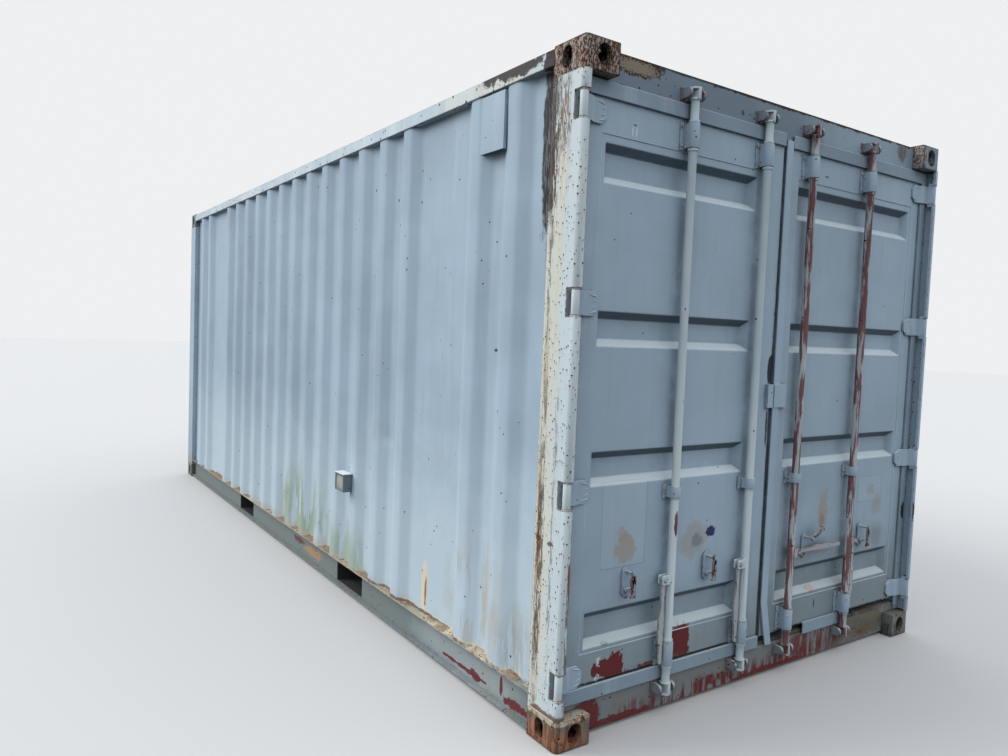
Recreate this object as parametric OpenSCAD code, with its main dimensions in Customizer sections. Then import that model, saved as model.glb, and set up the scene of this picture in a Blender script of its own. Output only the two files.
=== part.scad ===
// Twenty foot dry freight container with a pair of lockable end doors.
// X runs along the length with the doors at +X, Z is up, and the origin lies on the ground
// under the middle of the box. Left and right are as seen by someone facing the doors.

/* [Overall] */
// Length over the corner castings
box_length = 6058; // [5000:1:9125]
// Width over the corner castings
box_width = 2438; // [2300:1:2600]
// Height over the corner castings
box_height = 2591; // [2438:1:2896]

/* [Corner castings] */
// Length of a casting along the box
cast_l = 178; // [170:1:185]
// Width of a casting across the box
cast_w = 162; // [150:1:170]
// Height of a casting
cast_h = 118; // [110:1:125]
// Thickness of the three outer walls of a casting
cast_wall = 28; // [20:1:30]
// Thickness of the three inner walls of a casting
cast_back = 11; // [8:1:13]
// Distance of the top and bottom apertures from the end of the box
cast_slot_x = 102.5; // [100:0.5:104]
// Distance of the top and bottom apertures from the side of the box
cast_slot_y = 89.5; // [86:0.5:92]
// Length of a top or bottom aperture
slot_long = 124; // [118:1:126]
// Width of a top or bottom aperture
slot_wide = 63.5; // [60:0.5:65]
// Height of an aperture in an end or side face
face_slot_high = 79; // [72:1:82]
// Width of an aperture in a side face
side_slot_wide = 51; // [45:1:54]
// Width of an aperture in an end face
end_slot_wide = 63.5; // [60:0.5:65]
// Radius of the outer upright edge of a casting
cast_round = 34; // [12:1:40]
// Radius of the outer level edges of a casting
cast_edge = 8; // [3:1:10]

/* [Door end frame] */
// Set-back of the header, sill and door faces behind the castings
face_setback = 60; // [50:1:70]
// Plate thickness of the door posts
post_t = 6; // [4:0.5:8]
// Width of the front lip of a door post
lip_w = 34; // [32:1:38]
// Depth of the return on the edge of the lip
lip_return = 12; // [8:1:12]
// Radius of the outer front corner of a door post
post_round = 20; // [12:1:22]
// Distance from the side of the box to the jamb beside the door
jamb_in = 49; // [46:1:52]
// Height of the sill top above the ground
sill_top = 160; // [150:1:163]
// Height of the underside of the sill and bottom rails above the ground
under_gap = 15; // [10:1:20]
// Depth of the header and the sill along the box
header_depth = 100; // [80:1:110]
// Distance from the top of the box down to the door opening
header_drop = 151; // [140:1:160]
// Plate thickness of the header and the sill
header_t = 5; // [3:0.5:8]

/* [Side and end frame] */
// Size of the square top rails
rail_size = 60; // [50:1:70]
// Wall thickness of the top rails
rail_t = 3; // [2:0.5:5]
// Distance from the casting tops down to the top of the rails
roof_drop = 10; // [6:1:14]
// Height of the top of the bottom side rails above the ground
ledge_top = 165; // [162:1:170]
// Set-back of the web of the bottom side rails
rail_web_in = 36; // [30:1:40]
// Plate thickness of the bottom side rails
bottom_rail_t = 4.5; // [3:0.5:6]
// Thickness of the bottom flange of the bottom side rails
flange_t = 7; // [5:0.5:9]
// Width of the end plate of a front post
front_post_end = 80; // [70:1:95]
// Set-back of the front posts behind the castings
front_inset = 3; // [1:1:5]
// Depth of the front bottom rail along the box
front_sill_depth = 100; // [80:1:110]

/* [Walls and roof] */
// Sheet thickness of the side and front walls
wall_t = 2; // [1.6:0.2:3]
// Set-back of the side wall crests behind the castings
wall_inset = 6; // [4:1:8]
// Depth of the side wall corrugation
side_depth = 36; // [30:1:38]
// Spacing of the side wall crests
side_pitch = 278; // [276:1:284]
// Width of a side wall crest
side_crest = 72; // [60:1:80]
// Length of a side wall slope along the wall
side_slope = 68; // [50:1:69]
// Distance of the outer single crest from the corner castings
crest_outer = 263; // [255:1:275]
// Distance of the inner single crest from the corner castings
crest_inner = 541; // [530:1:560]
// Least distance between the inner single crest and the run of crests
crest_rest = 500; // [380:1:640]
// Depth of the front wall corrugation
front_depth = 45; // [35:1:46]
// Spacing of the front wall crests
front_pitch = 250; // [248:1:256]
// Width of a front wall crest
front_crest = 110; // [90:1:114]
// Length of a front wall slope along the wall
front_slope = 18; // [12:1:24]
// Sheet thickness of the roof
roof_t = 2; // [1.6:0.2:3]
// Depth of the pressed troughs in the roof
roof_press = 16; // [10:1:20]
// Spacing of the roof troughs
roof_pitch = 418; // [400:1:430]
// Width of a roof trough
roof_trough = 150; // [100:1:200]
// Distance from the side of the box to the edge of the roof sheet
roof_edge = 10; // [4:1:20]

/* [Floor] */
// Height of the floor top above the ground
floor_top = 172; // [168:1:180]
// Thickness of the floor boards
board_t = 28; // [24:1:30]
// Width of the steel strip along the middle of the floor
floor_strip = 60; // [40:1:80]
// Gap between the floor and the side walls
floor_gap = 15; // [5:1:20]
// Joint between the boards and the steel strip
board_gap = 2; // [1:0.5:4]
// Spacing of the cross members
cross_pitch = 285; // [270:1:300]
// Plate thickness of the cross members
cross_t = 4; // [3:0.5:6]
// Flange width of the cross members
cross_flange = 45; // [35:1:55]
// Distance between the centres of the two fork pockets
pocket_span = 2080; // [2000:1:2100]
// Width of a fork pocket
pocket_w = 360; // [350:1:370]
// Plate thickness of the fork pockets
pocket_t = 4; // [3:0.5:6]

/* [Doors] */
// Gap between a door leaf and its jamb
door_side_gap = 15; // [14:1:20]
// Gap between the two door leaves
door_gap = 20; // [18:1:24]
// Gap between a door leaf and the header
door_top_gap = 20; // [16:1:24]
// Gap between a door leaf and the sill
door_foot_gap = 27; // [20:1:30]
// Thickness of a door leaf
door_t = 50; // [46:1:54]
// Width of the outer stile of a door
outer_stile = 80; // [70:1:84]
// Width of the inner stile of a door
inner_stile = 90; // [80:1:95]
// Height of the top and bottom rails of a door
door_rail_h = 137; // [120:1:137]
// Wall thickness of the channels that are the top and bottom rails of a door
door_rail_t = 5; // [3:0.5:8]
// Sheet thickness of a door panel
panel_t = 3; // [2:0.5:4]
// Set-back of a door panel behind the door frame
panel_inset = 2; // [1:0.5:3]
// Depth of the pressed recesses in a door panel
press_depth = 32; // [20:1:36]
// Width of the slope round a pressed recess
press_slope = 28; // [15:1:34]
// Clear distance from the side of the box to the recesses
press_outer = 164; // [160:1:175]
// Distance from the middle of the doors to the recesses of the left door
press_inner_left = 180; // [110:1:185]
// Distance from the middle of the doors to the recesses of the right door
press_inner_right = 112; // [108:1:185]
// Heights of the lower edges of the two lower recesses above the ground
press_low = [340, 968]; // [300:1:1100]
// Distances of the lower edges of the two upper recesses below the top of the box
press_drop = [1091, 486]; // [400:1:1200]
// Heights of the four recesses
press_high = [140, 132, 132, 145]; // [80:1:160]

/* [Door seals] */
// Thickness of the seal in front of the door face
seal_t = 12; // [10:1:12]
// Clearance between the seal lip and the frame behind it
seal_clear = 5; // [4:1:6]
// Overlap of the seal lip over the jamb
seal_side = 30; // [24:1:30]
// Overlap of the seal above and below the leaf
seal_end = 46; // [40:1:46]
// Width of the seal on the door face
seal_on_door = 12; // [8:1:12]
// Where the torn bottom seal of the right door starts
torn_from = 330; // [250:1:400]
// Where the torn bottom seal of the right door ends
torn_to = 705; // [600:1:900]
// Width of the cover strip on the edge of the right door
strip_w = 43; // [38:1:48]
// Height of the foot of the overlap plate above the ground
overlap_foot = 1249; // [1120:1:1340]
// Height of the overlap plate
overlap_h = 105; // [80:1:130]
// Distance that the overlap plate reaches over the left door
overlap_left = 47; // [40:1:60]
// Distance that the overlap plate reaches over the right door
overlap_right = 84; // [70:1:90]

/* [Hinges] */
// Distance of the hinge pins from the side of the box
pin_in = 18; // [18:1:20]
// Distance of the hinge pins behind the front of the castings
pin_back = 19; // [18:1:20]
// Radius of the hinge pins
pin_r = 9; // [7:0.5:9.5]
// Running clearance round the hinge pins
pin_clear = 0.08; // [0.02:0.01:0.1]
// Outer radius of a hinge knuckle
knuckle_r = 15; // [14:0.5:15.5]
// Height of a hinge knuckle
knuckle_h = 90; // [70:1:100]
// Height of the windows in the posts round the knuckles
window_h = 104; // [100:1:120]
// Height of the lugs that hold a hinge pin
lug_h = 16; // [10:1:24]
// Thickness of a hinge blade
blade_t = 10; // [8:1:12]
// Thickness of the arm of a hinge in front of the seal
arm_t = 9; // [8:0.5:10]
// Distance from the hinge pin to the end of the blade
blade_reach = 136; // [120:1:150]
// Size of the cut corners at the end of a hinge blade
blade_cut = 24; // [10:1:30]
// Heights of the middles of the two lower hinges above the ground
hinge_low = [245, 955]; // [190:1:1100]
// Distances of the middles of the two upper hinges below the top of the box
hinge_drop = [936, 239]; // [190:1:1100]

/* [Lock rods] */
// Distance of the outer rods from the middle of the doors
rod_outer = 631; // [600:1:660]
// Distance of the inner rods from the middle of the doors
rod_inner = 165; // [150:1:180]
// Distance of the rods behind the front of the castings
rod_back = 26; // [26:1:28]
// Radius of a lock rod
rod_r = 17; // [14:0.5:18]
// Radius of the cams at the ends of a rod
cam_r = 24; // [20:0.5:24]
// Height of a cam
cam_h = 48; // [40:1:56]
// Height of the middles of the bottom cams
cam_low = 110; // [105:1:116]
// Distance of the middles of the top cams below the top of the box
cam_drop = 89; // [85:1:91]
// Clear gap between a cam and its keeper
cam_clear = 7; // [5:0.5:10]
// Thickness of a horn of a keeper
horn_t = 14; // [10:1:18]
// Radius of the round front of a horn
horn_r = 20; // [16:1:22]
// Clearance between a rod and its brackets
rod_clear = 0.5; // [0.3:0.1:1]
// Radius of a rod bracket round the rod
bracket_r = 24; // [22:0.5:24.5]
// Height of a bearing bracket
bearing_h = 96; // [72:1:100]
// Height of the middles of the lower bearing brackets above the ground
bearing_low = 256; // [254:1:264]
// Distance of the middles of the upper bearing brackets below the top of the box
bearing_drop = 251; // [249:1:258]
// Height of a middle guide bracket
guide_h = 44; // [36:1:60]
// Height of the middle guide brackets
guide_z = 922; // [880:1:940]

/* [Handles] */
// Height of the handle pivots
pivot_z = 567; // [540:1:600]
// Distance from a rod to its handle pivot
pivot_out = 42; // [40:1:46]
// Radius of a handle pivot
pivot_r = 6; // [5:0.5:8]
// Length of a handle from its pivot
handle_l = 350; // [320:1:380]
// Thickness of a handle
handle_t = 8; // [6:0.5:10]
// Radius of the eye of a handle
handle_eye = 15; // [13:0.5:17]
// Distance from the middle of the doors to each handle catch, left to right
catch_x = [-850, -381, 312, 787]; // [-900:1:900]
// Height of the catch pivots
catch_z = 620; // [612:1:640]
// Length of a catch below its pivot
catch_l = 96; // [80:1:110]
// Angle at which the catch of the third rod is stored
catch_stored = 120; // [90:1:140]

/* [Fittings] */
// Width of a ventilator cover
vent_w = 172; // [150:1:180]
// Height of a ventilator cover
vent_h = 234; // [200:1:260]
// Distance of the middle of a ventilator cover below the top of the box
vent_drop = 197; // [195:1:290]
// Length of the lamp box along the wall
lamp_l = 120; // [90:1:150]
// Height of the lamp box
lamp_h = 100; // [80:1:130]
// Depth of the lamp box in front of the wall
lamp_d = 52; // [40:1:80]
// Distance of the middle of the lamp box from the crest that carries it
lamp_off = 62; // [45:1:80]
// Height of the middle of the lamp box
lamp_z = 655; // [500:1:900]

/* [Hidden] */
$fn = 48;
PAINT = "#9db0b8";
PALE = "#c3cdcd";
RUST = "#8a4b32";
PRIMER = "#6d4440";
DARK = "#5b6468";
WOOD = "#8c6a45";
eps = 1;
half_l = box_length / 2;
half_w = box_width / 2;
frame_l = half_l - cast_l;
frame_w = half_w - cast_w;
post_foot = cast_h;
post_head = box_height - cast_h;
// Places in the door end's own view: x runs across to the right and y runs inwards
face_y = face_setback - half_l;
opening_top = box_height - header_drop;
rail_top = box_height - roof_drop;
rail_foot = rail_top - rail_size;
jamb_x = half_w - jamb_in;
door_edge = jamb_x - door_side_gap;
door_mid = door_gap / 2;
door_foot = sill_top + door_foot_gap;
door_head = opening_top - door_top_gap;
stile_in = door_edge - outer_stile;
panel_foot = door_foot + door_rail_h;
panel_head = door_head - door_rail_h;
pin_x = half_w - pin_in;
pin_y = pin_back - half_l;
seal_y = face_y - seal_t;
rod_y = rod_back - half_l;
rod_x = [-rod_outer, -rod_inner, rod_inner, rod_outer];
plate_t = 5;
front_face_x = front_inset - half_l;
front_edge = half_w - front_inset - front_post_end;
// Heights that follow the top of the box
press_z = concat(press_low, [for (drop = press_drop) box_height - drop]);
hinge_z = concat(hinge_low, [for (drop = hinge_drop) box_height - drop]);
cam_z = [cam_low, box_height - cam_drop];
bearing_z = [bearing_low, box_height - bearing_drop];
overlap_head = overlap_foot + overlap_h;
// Patterns that follow the length and the width of the box
crest_a = frame_l - crest_inner;
crest_b = frame_l - crest_outer;
side_run = floor((crest_a - crest_rest) / side_pitch);
front_run = floor((front_edge - front_crest / 2 - front_slope) / front_pitch);
roof_run = floor((frame_l - roof_trough) / roof_pitch);
cross_run = floor((frame_l - cross_flange) / cross_pitch);
lamp_crest = 4;
lamp_x = lamp_crest * side_pitch - lamp_off;

module block(low, high) {
  translate(low)
    cube(high - low);
}

// The door end is drawn as someone facing it sees it, then turned onto the +X end
module door_end() {
  rotate([0, 0, 90])
    children();
}

module mirrored_if(flip) {
  mirror([flip ? 1 : 0, 0, 0])
    children();
}

// Aperture cutter along Z with its long way on X
module slot_cutter(long, wide, deep) {
  run = long - wide;
  translate([-run / 2, -wide / 2, 0])
    cube([run, wide, deep]);
  for (s = [-1, 1])
    translate([s * run / 2, 0, 0])
      cylinder(d = wide, h = deep);
}

// Plate with an outline in the door's face, from its front y to its back y
module face_plate(front, back) {
  translate([0, back, 0])
    rotate([90, 0, 0])
      linear_extrude(back - front)
        children();
}

// Closed trough with four sloping sides, sunk along +Y from the face y
module trough(low_x, high_x, low_z, high_z, face, deep, slope) {
  intersection() {
    translate([0, 0, low_z])
      linear_extrude(high_z - low_z)
        polygon([
          [low_x, face],
          [high_x, face],
          [high_x - slope, face + deep],
          [low_x + slope, face + deep]
        ]);
    translate([low_x, 0, 0])
      rotate([90, 0, 90])
        linear_extrude(high_x - low_x)
          polygon([
            [face, low_z],
            [face, high_z],
            [face + deep, high_z - slope],
            [face + deep, low_z + slope]
          ]);
  }
}

// Rectangle with its corner at the origin rounded
module rounded_corner(long, wide, round) {
  difference() {
    square([long, wide]);
    difference() {
      translate([-eps, -eps])
        square(round + eps);
      translate([round, round])
        circle(round);
    }
  }
}

// Block of a casting from its outer foot corner, rounded along its outer edges
module casting_block() {
  intersection() {
    linear_extrude(cast_h)
      rounded_corner(cast_l, cast_w, cast_round);
    translate([0, cast_w, 0])
      rotate([90, 0, 0])
        linear_extrude(cast_w)
          rounded_corner(cast_l, cast_h, cast_edge);
    rotate([90, 0, 90])
      linear_extrude(cast_l)
        rounded_corner(cast_w, cast_h, cast_edge);
  }
}

module casting() {
  hole_z = cast_h / 2;
  through = cast_wall + 2 * eps;
  difference() {
    casting_block();
    block([cast_wall, cast_wall, cast_wall], [cast_l - cast_back, cast_w - cast_back, cast_h - cast_back]);
    translate([cast_slot_x, cast_slot_y, -eps])
      slot_cutter(slot_long, slot_wide, through);
    translate([-eps, cast_slot_y, hole_z])
      rotate([0, 90, 0])
        slot_cutter(face_slot_high, end_slot_wide, through);
    translate([cast_slot_x, -eps, hole_z])
      rotate([-90, 0, 0])
        rotate([0, 0, 90])
          slot_cutter(face_slot_high, side_slot_wide, through);
  }
}

module four_castings() {
  for (flip_x = [0, 1], flip_y = [0, 1])
    mirror([flip_x, 0, 0])
      mirror([0, flip_y, 0])
        translate([-half_l, -half_w, 0])
          casting();
}

module bottom_castings() {
  color(RUST)
    four_castings();
}

module top_castings() {
  color(RUST)
    translate([0, 0, box_height])
      mirror([0, 0, 1])
        four_castings();
}

// Section of a door post, from the outer front corner
module door_post_section() {
  box_deep = cast_l - face_setback;
  difference() {
    union() {
      rounded_corner(lip_w, cast_l, post_round);
      translate([0, face_setback])
        square([jamb_in, box_deep]);
    }
    translate([post_t, post_t])
      rounded_corner(lip_w - 2 * post_t, face_setback - post_t, post_round - post_t);
    translate([lip_w - post_t - eps, lip_return])
      square([post_t + 2 * eps, face_setback - lip_return]);
    translate([post_t, face_setback + post_t])
      square([jamb_in - 2 * post_t, box_deep - 2 * post_t]);
  }
}

module door_post() {
  window_back = pin_back + 32;
  lug_gap = 0.5;
  translate([-half_w, -half_l, 0])
    difference() {
      union() {
        difference() {
          translate([0, 0, post_foot])
            linear_extrude(post_head - post_foot)
              door_post_section();
          for (z = hinge_z)
            block([-eps, -eps, z - window_h / 2], [lip_w + eps, window_back, z + window_h / 2]);
        }
        for (z = hinge_z, side = [-1, 1])
          translate([0, 0, z + side * (knuckle_h / 2 + lug_gap + lug_h / 2)])
            block([post_t, post_t, -lug_h / 2], [lip_w - 1, pin_back + knuckle_r, lug_h / 2]);
      }
      for (z = hinge_z)
        translate([pin_in, pin_back, z - window_h])
          cylinder(r = pin_r + 0.05, h = 2 * window_h);
    }
}

module left_door_post() {
  color(PALE)
    door_end()
      door_post();
}

module right_door_post() {
  color(PAINT)
    door_end()
      mirror([1, 0, 0])
        door_post();
}

module hinge_pin() {
  half = knuckle_h / 2 + 0.5 + lug_h;
  translate([0, 0, -half])
    cylinder(r = pin_r, h = 2 * half);
  translate([0, 0, half])
    cylinder(r = pin_r + 1.5, h = 4);
}

module hinge_pins() {
  color(RUST)
    door_end()
      for (side = [-1, 1], z = hinge_z)
        translate([side * pin_x, pin_y, z])
          hinge_pin();
}

// Section of a front post, from its outer corner: x runs along the box, y across it
module front_post_section() {
  side = cast_l - front_inset;
  square([side, post_t]);
  square([post_t, front_post_end]);
  translate([0, front_post_end - post_t])
    square([post_t + front_depth + wall_t, post_t]);
  translate([side - post_t, 0])
    square([post_t, wall_inset + side_depth]);
}

module front_posts() {
  color(PAINT)
    for (flip = [0, 1])
      mirror([0, flip, 0])
        translate([front_face_x, front_inset - half_w, post_foot])
          linear_extrude(post_head - post_foot)
            front_post_section();
}

// Hollow beam across an end: narrow between the castings, wide between the posts
module end_beam(face, deep, wide, foot, head, wide_foot, wide_head) {
  module solid_beam(inset, past) {
    front = face + inset;
    back = face + deep - inset;
    block([-frame_w - past, front, foot + inset], [frame_w + past, back, head - inset]);
    block([-wide - past, front, wide_foot + inset], [wide + past, back, wide_head - inset]);
  }
  difference() {
    solid_beam(0, 0);
    solid_beam(header_t, eps);
  }
}

// Beam over the doors, with the plate on top that closes the roof between the castings
module door_header() {
  color(PAINT)
    door_end() {
      end_beam(face_y, header_depth, jamb_x, opening_top, rail_top, opening_top, post_head);
      block([-frame_w, face_y, rail_top], [frame_w, -frame_l, rail_top + roof_t]);
    }
}

module door_sill() {
  color(PAINT)
    door_end()
      end_beam(face_y, header_depth, jamb_x, under_gap, sill_top, cast_h, sill_top);
}

// Keeper of a cam: base plate and two horns with round fronts
module cam_keeper(z) {
  foot = 7;
  inner = cam_r + cam_clear;
  outer = inner + horn_t + foot;
  horn_y = rod_y + 4;
  plate_y = face_y - plate_t;
  translate([0, 0, z]) {
    block([-outer, plate_y, -horn_r - 4], [outer, face_y, horn_r + 4]);
    for (side = [-1, 1])
      translate([side * (inner + horn_t / 2), 0, 0])
        rotate([90, 0, 90])
          linear_extrude(horn_t, center = true) {
            translate([horn_y, 0])
              circle(horn_r);
            translate([horn_y, -horn_r])
              square([plate_y - horn_y + eps, 2 * horn_r]);
          }
  }
}

module cam_keepers() {
  color(PAINT)
    door_end()
      for (x = rod_x, z = cam_z)
        translate([x, 0, 0])
          cam_keeper(z);
}

module top_side_rails() {
  color(PAINT)
    for (flip = [0, 1])
      mirror([0, flip, 0])
        difference() {
          block([-frame_l, -half_w, rail_foot], [frame_l, rail_size - half_w, rail_top]);
          block(
            [-frame_l - eps, rail_t - half_w, rail_foot + rail_t],
            [frame_l + eps, rail_size - rail_t - half_w, rail_top - rail_t]
          );
        }
}

module bottom_side_rails() {
  outer = wall_inset - half_w;
  web = rail_web_in - half_w;
  inner = web + bottom_rail_t;
  color(PAINT)
    for (flip = [0, 1])
      mirror([0, flip, 0])
        difference() {
          union() {
            block([-frame_l, -half_w, ledge_top - bottom_rail_t], [frame_l, inner + 10, ledge_top]);
            block([-frame_l, web, under_gap], [frame_l, inner, ledge_top]);
            block([-frame_l, outer, under_gap], [frame_l, inner, under_gap + flange_t]);
          }
          for (side = [-1, 1])
            block(
              [side * pocket_span / 2 - pocket_w / 2, web - eps, under_gap + flange_t],
              [side * pocket_span / 2 + pocket_w / 2, inner + eps, floor_top - board_t - pocket_t]
            );
        }
}

module front_top_rail() {
  color(PAINT) {
    difference() {
      block([front_face_x, -frame_w, rail_foot], [front_face_x + rail_size, frame_w, rail_top]);
      block(
        [front_face_x + rail_t, -frame_w - eps, rail_foot + rail_t],
        [front_face_x + rail_size - rail_t, frame_w + eps, rail_top - rail_t]
      );
    }
    block([front_face_x, -frame_w, rail_top], [-frame_l, frame_w, rail_top + roof_t]);
  }
}

module front_bottom_rail() {
  color(PAINT)
    rotate([0, 0, -90])
      end_beam(front_face_x, front_sill_depth, front_edge, under_gap, sill_top, cast_h, sill_top);
}

// Points along one face of a corrugated sheet: u runs along the wall, v is the depth
function crest_points(c, crest, slope, deep) = [
  [c - crest / 2 - slope, deep],
  [c - crest / 2, 0],
  [c + crest / 2, 0],
  [c + crest / 2 + slope, deep]
];

function sheet_line(from, to, crests, crest, slope, deep) = concat(
  [[from, deep]],
  [for (c = crests) each crest_points(c, crest, slope, deep)],
  [[to, deep]]
);

function reversed(list) = [for (i = [len(list) - 1 : -1 : 0]) list[i]];

module sheet(line, thick) {
  polygon(concat(line, reversed([for (p = line) p + [0, thick]])));
}

side_crests = concat(
  [-crest_b, -crest_a],
  [for (k = [-side_run : side_run]) k * side_pitch],
  [crest_a, crest_b]
);
front_crests = [for (k = [-front_run : front_run]) k * front_pitch];

module side_wall() {
  translate([0, wall_inset - half_w, ledge_top])
    linear_extrude(rail_foot - ledge_top)
      sheet(sheet_line(-frame_l, frame_l, side_crests, side_crest, side_slope, side_depth), wall_t);
}

module left_wall() {
  color(PAINT)
    side_wall();
}

module right_wall() {
  color(PAINT)
    mirror([0, 1, 0])
      side_wall();
}

module front_wall() {
  color(PAINT)
    difference() {
      translate([front_face_x + post_t, 0, sill_top])
        rotate([0, 0, -90])
          linear_extrude(rail_foot - sill_top)
            sheet(
              sheet_line(-front_edge, front_edge, front_crests, front_crest, front_slope, front_depth),
              wall_t
            );
      for (flip = [0, 1])
        mirror([0, flip, 0])
          block([-half_l, frame_w, post_head], [-frame_l, half_w, box_height]);
    }
}

module roof_panel() {
  edge = half_w - roof_edge;
  trough_half = frame_w + 50;
  color(PAINT)
    difference() {
      union() {
        block([-frame_l, -edge, rail_top], [frame_l, edge, rail_top + roof_t]);
        for (k = [-roof_run : roof_run])
          translate([k * roof_pitch, 0, rail_top + roof_t])
            rotate([-90, 0, 0])
              trough(
                -roof_trough / 2 - roof_t, roof_trough / 2 + roof_t,
                -trough_half - roof_t, trough_half + roof_t,
                roof_t, roof_press, roof_press
              );
      }
      for (k = [-roof_run : roof_run])
        translate([k * roof_pitch, 0, rail_top + roof_t])
          rotate([-90, 0, 0])
            trough(
              -roof_trough / 2, roof_trough / 2, -trough_half, trough_half,
              -0.01, roof_press, roof_press
            );
    }
}

module floor_boards() {
  edge = half_w - wall_inset - side_depth - wall_t - floor_gap;
  from = front_face_x + front_sill_depth;
  to = -face_y - header_depth;
  low = floor_top - board_t;
  color(WOOD) {
    for (flip = [0, 1])
      mirror([0, flip, 0])
        block([from, floor_strip / 2 + board_gap, low], [to, edge, floor_top]);
    block([from, -floor_strip / 2, low], [to, floor_strip / 2, floor_top - 1]);
  }
}

module cross_member(reach) {
  high = floor_top - board_t - under_gap - flange_t;
  rotate([90, 0, 0])
    linear_extrude(2 * reach, center = true) {
      square([cross_t, high]);
      square([cross_flange, cross_t]);
      translate([0, high - cross_t])
        square([cross_flange, cross_t]);
    }
}

module cross_members() {
  reach = half_w - rail_web_in - bottom_rail_t;
  keep_out = pocket_w / 2 + 1.25 * cross_flange;
  color(DARK)
    for (k = [-cross_run : cross_run])
      if (abs(abs(k * cross_pitch) - pocket_span / 2) > keep_out)
        translate([k * cross_pitch, 0, under_gap + flange_t])
          cross_member(reach);
}

module fork_pocket() {
  reach = half_w - rail_web_in - bottom_rail_t;
  low = under_gap + flange_t;
  high = floor_top - board_t;
  for (side = [-1, 1])
    mirrored_if(side < 0)
      block([pocket_w / 2, -reach, low], [pocket_w / 2 + pocket_t, reach, high]);
  block([-pocket_w / 2, -reach, high - pocket_t], [pocket_w / 2, reach, high]);
  for (flip = [0, 1])
    mirror([0, flip, 0])
      block(
        [-pocket_w / 2 - pocket_t, reach - 300, low - 6],
        [pocket_w / 2 + pocket_t, reach, low]
      );
}

module fork_pockets() {
  color(DARK)
    for (side = [-1, 1])
      translate([side * pocket_span / 2, 0, 0])
        fork_pocket();
}

// Hood over the wall slots, open at the bottom, in the valley between two crests
module ventilator() {
  mid = (crest_a + crest_b) / 2;
  valley = (crest_b - crest_a - side_crest) / 2 - side_slope;
  cover_t = 2;
  clear = 0.3;
  half = vent_w / 2;
  edge_depth = side_depth - side_depth * (half - valley) / side_slope;
  module outline(inset) {
    polygon([
      [-half + inset, inset],
      [half - inset, inset],
      [half - inset, edge_depth + wall_inset - clear],
      [valley - inset, side_depth + wall_inset - clear - inset],
      [-valley + inset, side_depth + wall_inset - clear - inset],
      [-half + inset, edge_depth + wall_inset - clear]
    ]);
  }
  translate([mid, -half_w, box_height - vent_drop - vent_h / 2])
    difference() {
      linear_extrude(vent_h)
        outline(0);
      translate([0, 0, -eps])
        linear_extrude(vent_h - cover_t + eps)
          outline(cover_t);
    }
}

module ventilators() {
  color(PAINT) {
    ventilator();
    rotate([0, 0, 180])
      ventilator();
  }
}

module wall_lamp() {
  bezel = 8;
  back = wall_inset - half_w;
  color(DARK)
    difference() {
      union() {
        block(
          [lamp_x - lamp_l / 2, back - lamp_d, lamp_z - lamp_h / 2],
          [lamp_x + lamp_l / 2, back, lamp_z + lamp_h / 2]
        );
        block(
          [lamp_x - lamp_l / 2 - 4, back - lamp_d - 4, lamp_z + lamp_h / 2],
          [lamp_x + lamp_l / 2 + 4, back, lamp_z + lamp_h / 2 + 4]
        );
      }
      block(
        [lamp_x - lamp_l / 2 + bezel, back - lamp_d - eps, lamp_z - lamp_h / 2 + bezel],
        [lamp_x + lamp_l / 2 - bezel, back - lamp_d + 4, lamp_z + lamp_h / 2 - bezel]
      );
    }
}

// The right door is drawn on the right of the middle, and the left door is its mirror image
module door_frame() {
  difference() {
    block([door_mid, face_y, door_foot], [door_edge, face_y + door_t, door_head]);
    block(
      [door_mid + inner_stile, face_y - eps, panel_foot],
      [stile_in, face_y + door_t + eps, panel_head]
    );
    for (foot = [door_foot, panel_head])
      block(
        [door_mid + inner_stile, face_y + door_rail_t, foot + door_rail_t],
        [stile_in, face_y + door_t + eps, foot + door_rail_h - door_rail_t]
      );
  }
}

module left_door_frame() {
  color(PAINT)
    door_end()
      mirror([1, 0, 0])
        door_frame();
}

module right_door_frame() {
  color(PAINT)
    door_end()
      door_frame();
}

module door_panel(inner) {
  front = face_y + panel_inset;
  outer = half_w - press_outer;
  back_depth = press_depth + panel_t;
  back_slope = press_slope * back_depth / press_depth;
  difference() {
    union() {
      block([door_mid + inner_stile, front, panel_foot], [stile_in, front + panel_t, panel_head]);
      for (i = [0 : len(press_z) - 1])
        trough(
          inner - panel_t, outer + panel_t, press_z[i] - panel_t, press_z[i] + press_high[i] + panel_t,
          front, back_depth, back_slope
        );
    }
    for (i = [0 : len(press_z) - 1])
      trough(
        inner, outer, press_z[i], press_z[i] + press_high[i],
        front - 0.01, press_depth, press_slope
      );
  }
}

module left_door_panel() {
  color(PAINT)
    door_end()
      mirror([1, 0, 0])
        door_panel(press_inner_left);
}

module right_door_panel() {
  color(PAINT)
    door_end()
      door_panel(press_inner_right);
}

// Seal round the outer, top and bottom edges of a leaf, with a lip over the frame
module door_seal(inner) {
  lip_back = face_y - seal_clear;
  difference() {
    block(
      [inner, seal_y, door_foot - seal_end + eps],
      [door_edge + seal_side, face_y, door_head + seal_end]
    );
    block(
      [inner - eps, seal_y - eps, door_foot + seal_on_door],
      [door_edge - seal_on_door, face_y + eps, door_head - seal_on_door]
    );
    block([door_edge, lip_back, 0], [half_w, face_y + eps, box_height]);
    block([0, lip_back, door_head], [half_w, face_y + eps, box_height]);
    block([0, lip_back, 0], [half_w, face_y + eps, door_foot]);
  }
}

module left_door_seal() {
  color(PALE)
    door_end()
      mirror([1, 0, 0])
        door_seal(door_mid + 2);
}

module right_door_seal() {
  start = strip_w + 2;
  low = door_foot + seal_on_door + eps;
  color(PALE)
    door_end()
      difference() {
        door_seal(start);
        block([start - eps, seal_y - eps, 0], [torn_from, face_y + eps, low]);
        block([torn_to, seal_y - eps, 0], [door_edge - seal_on_door, face_y + eps, low]);
      }
}

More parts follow.
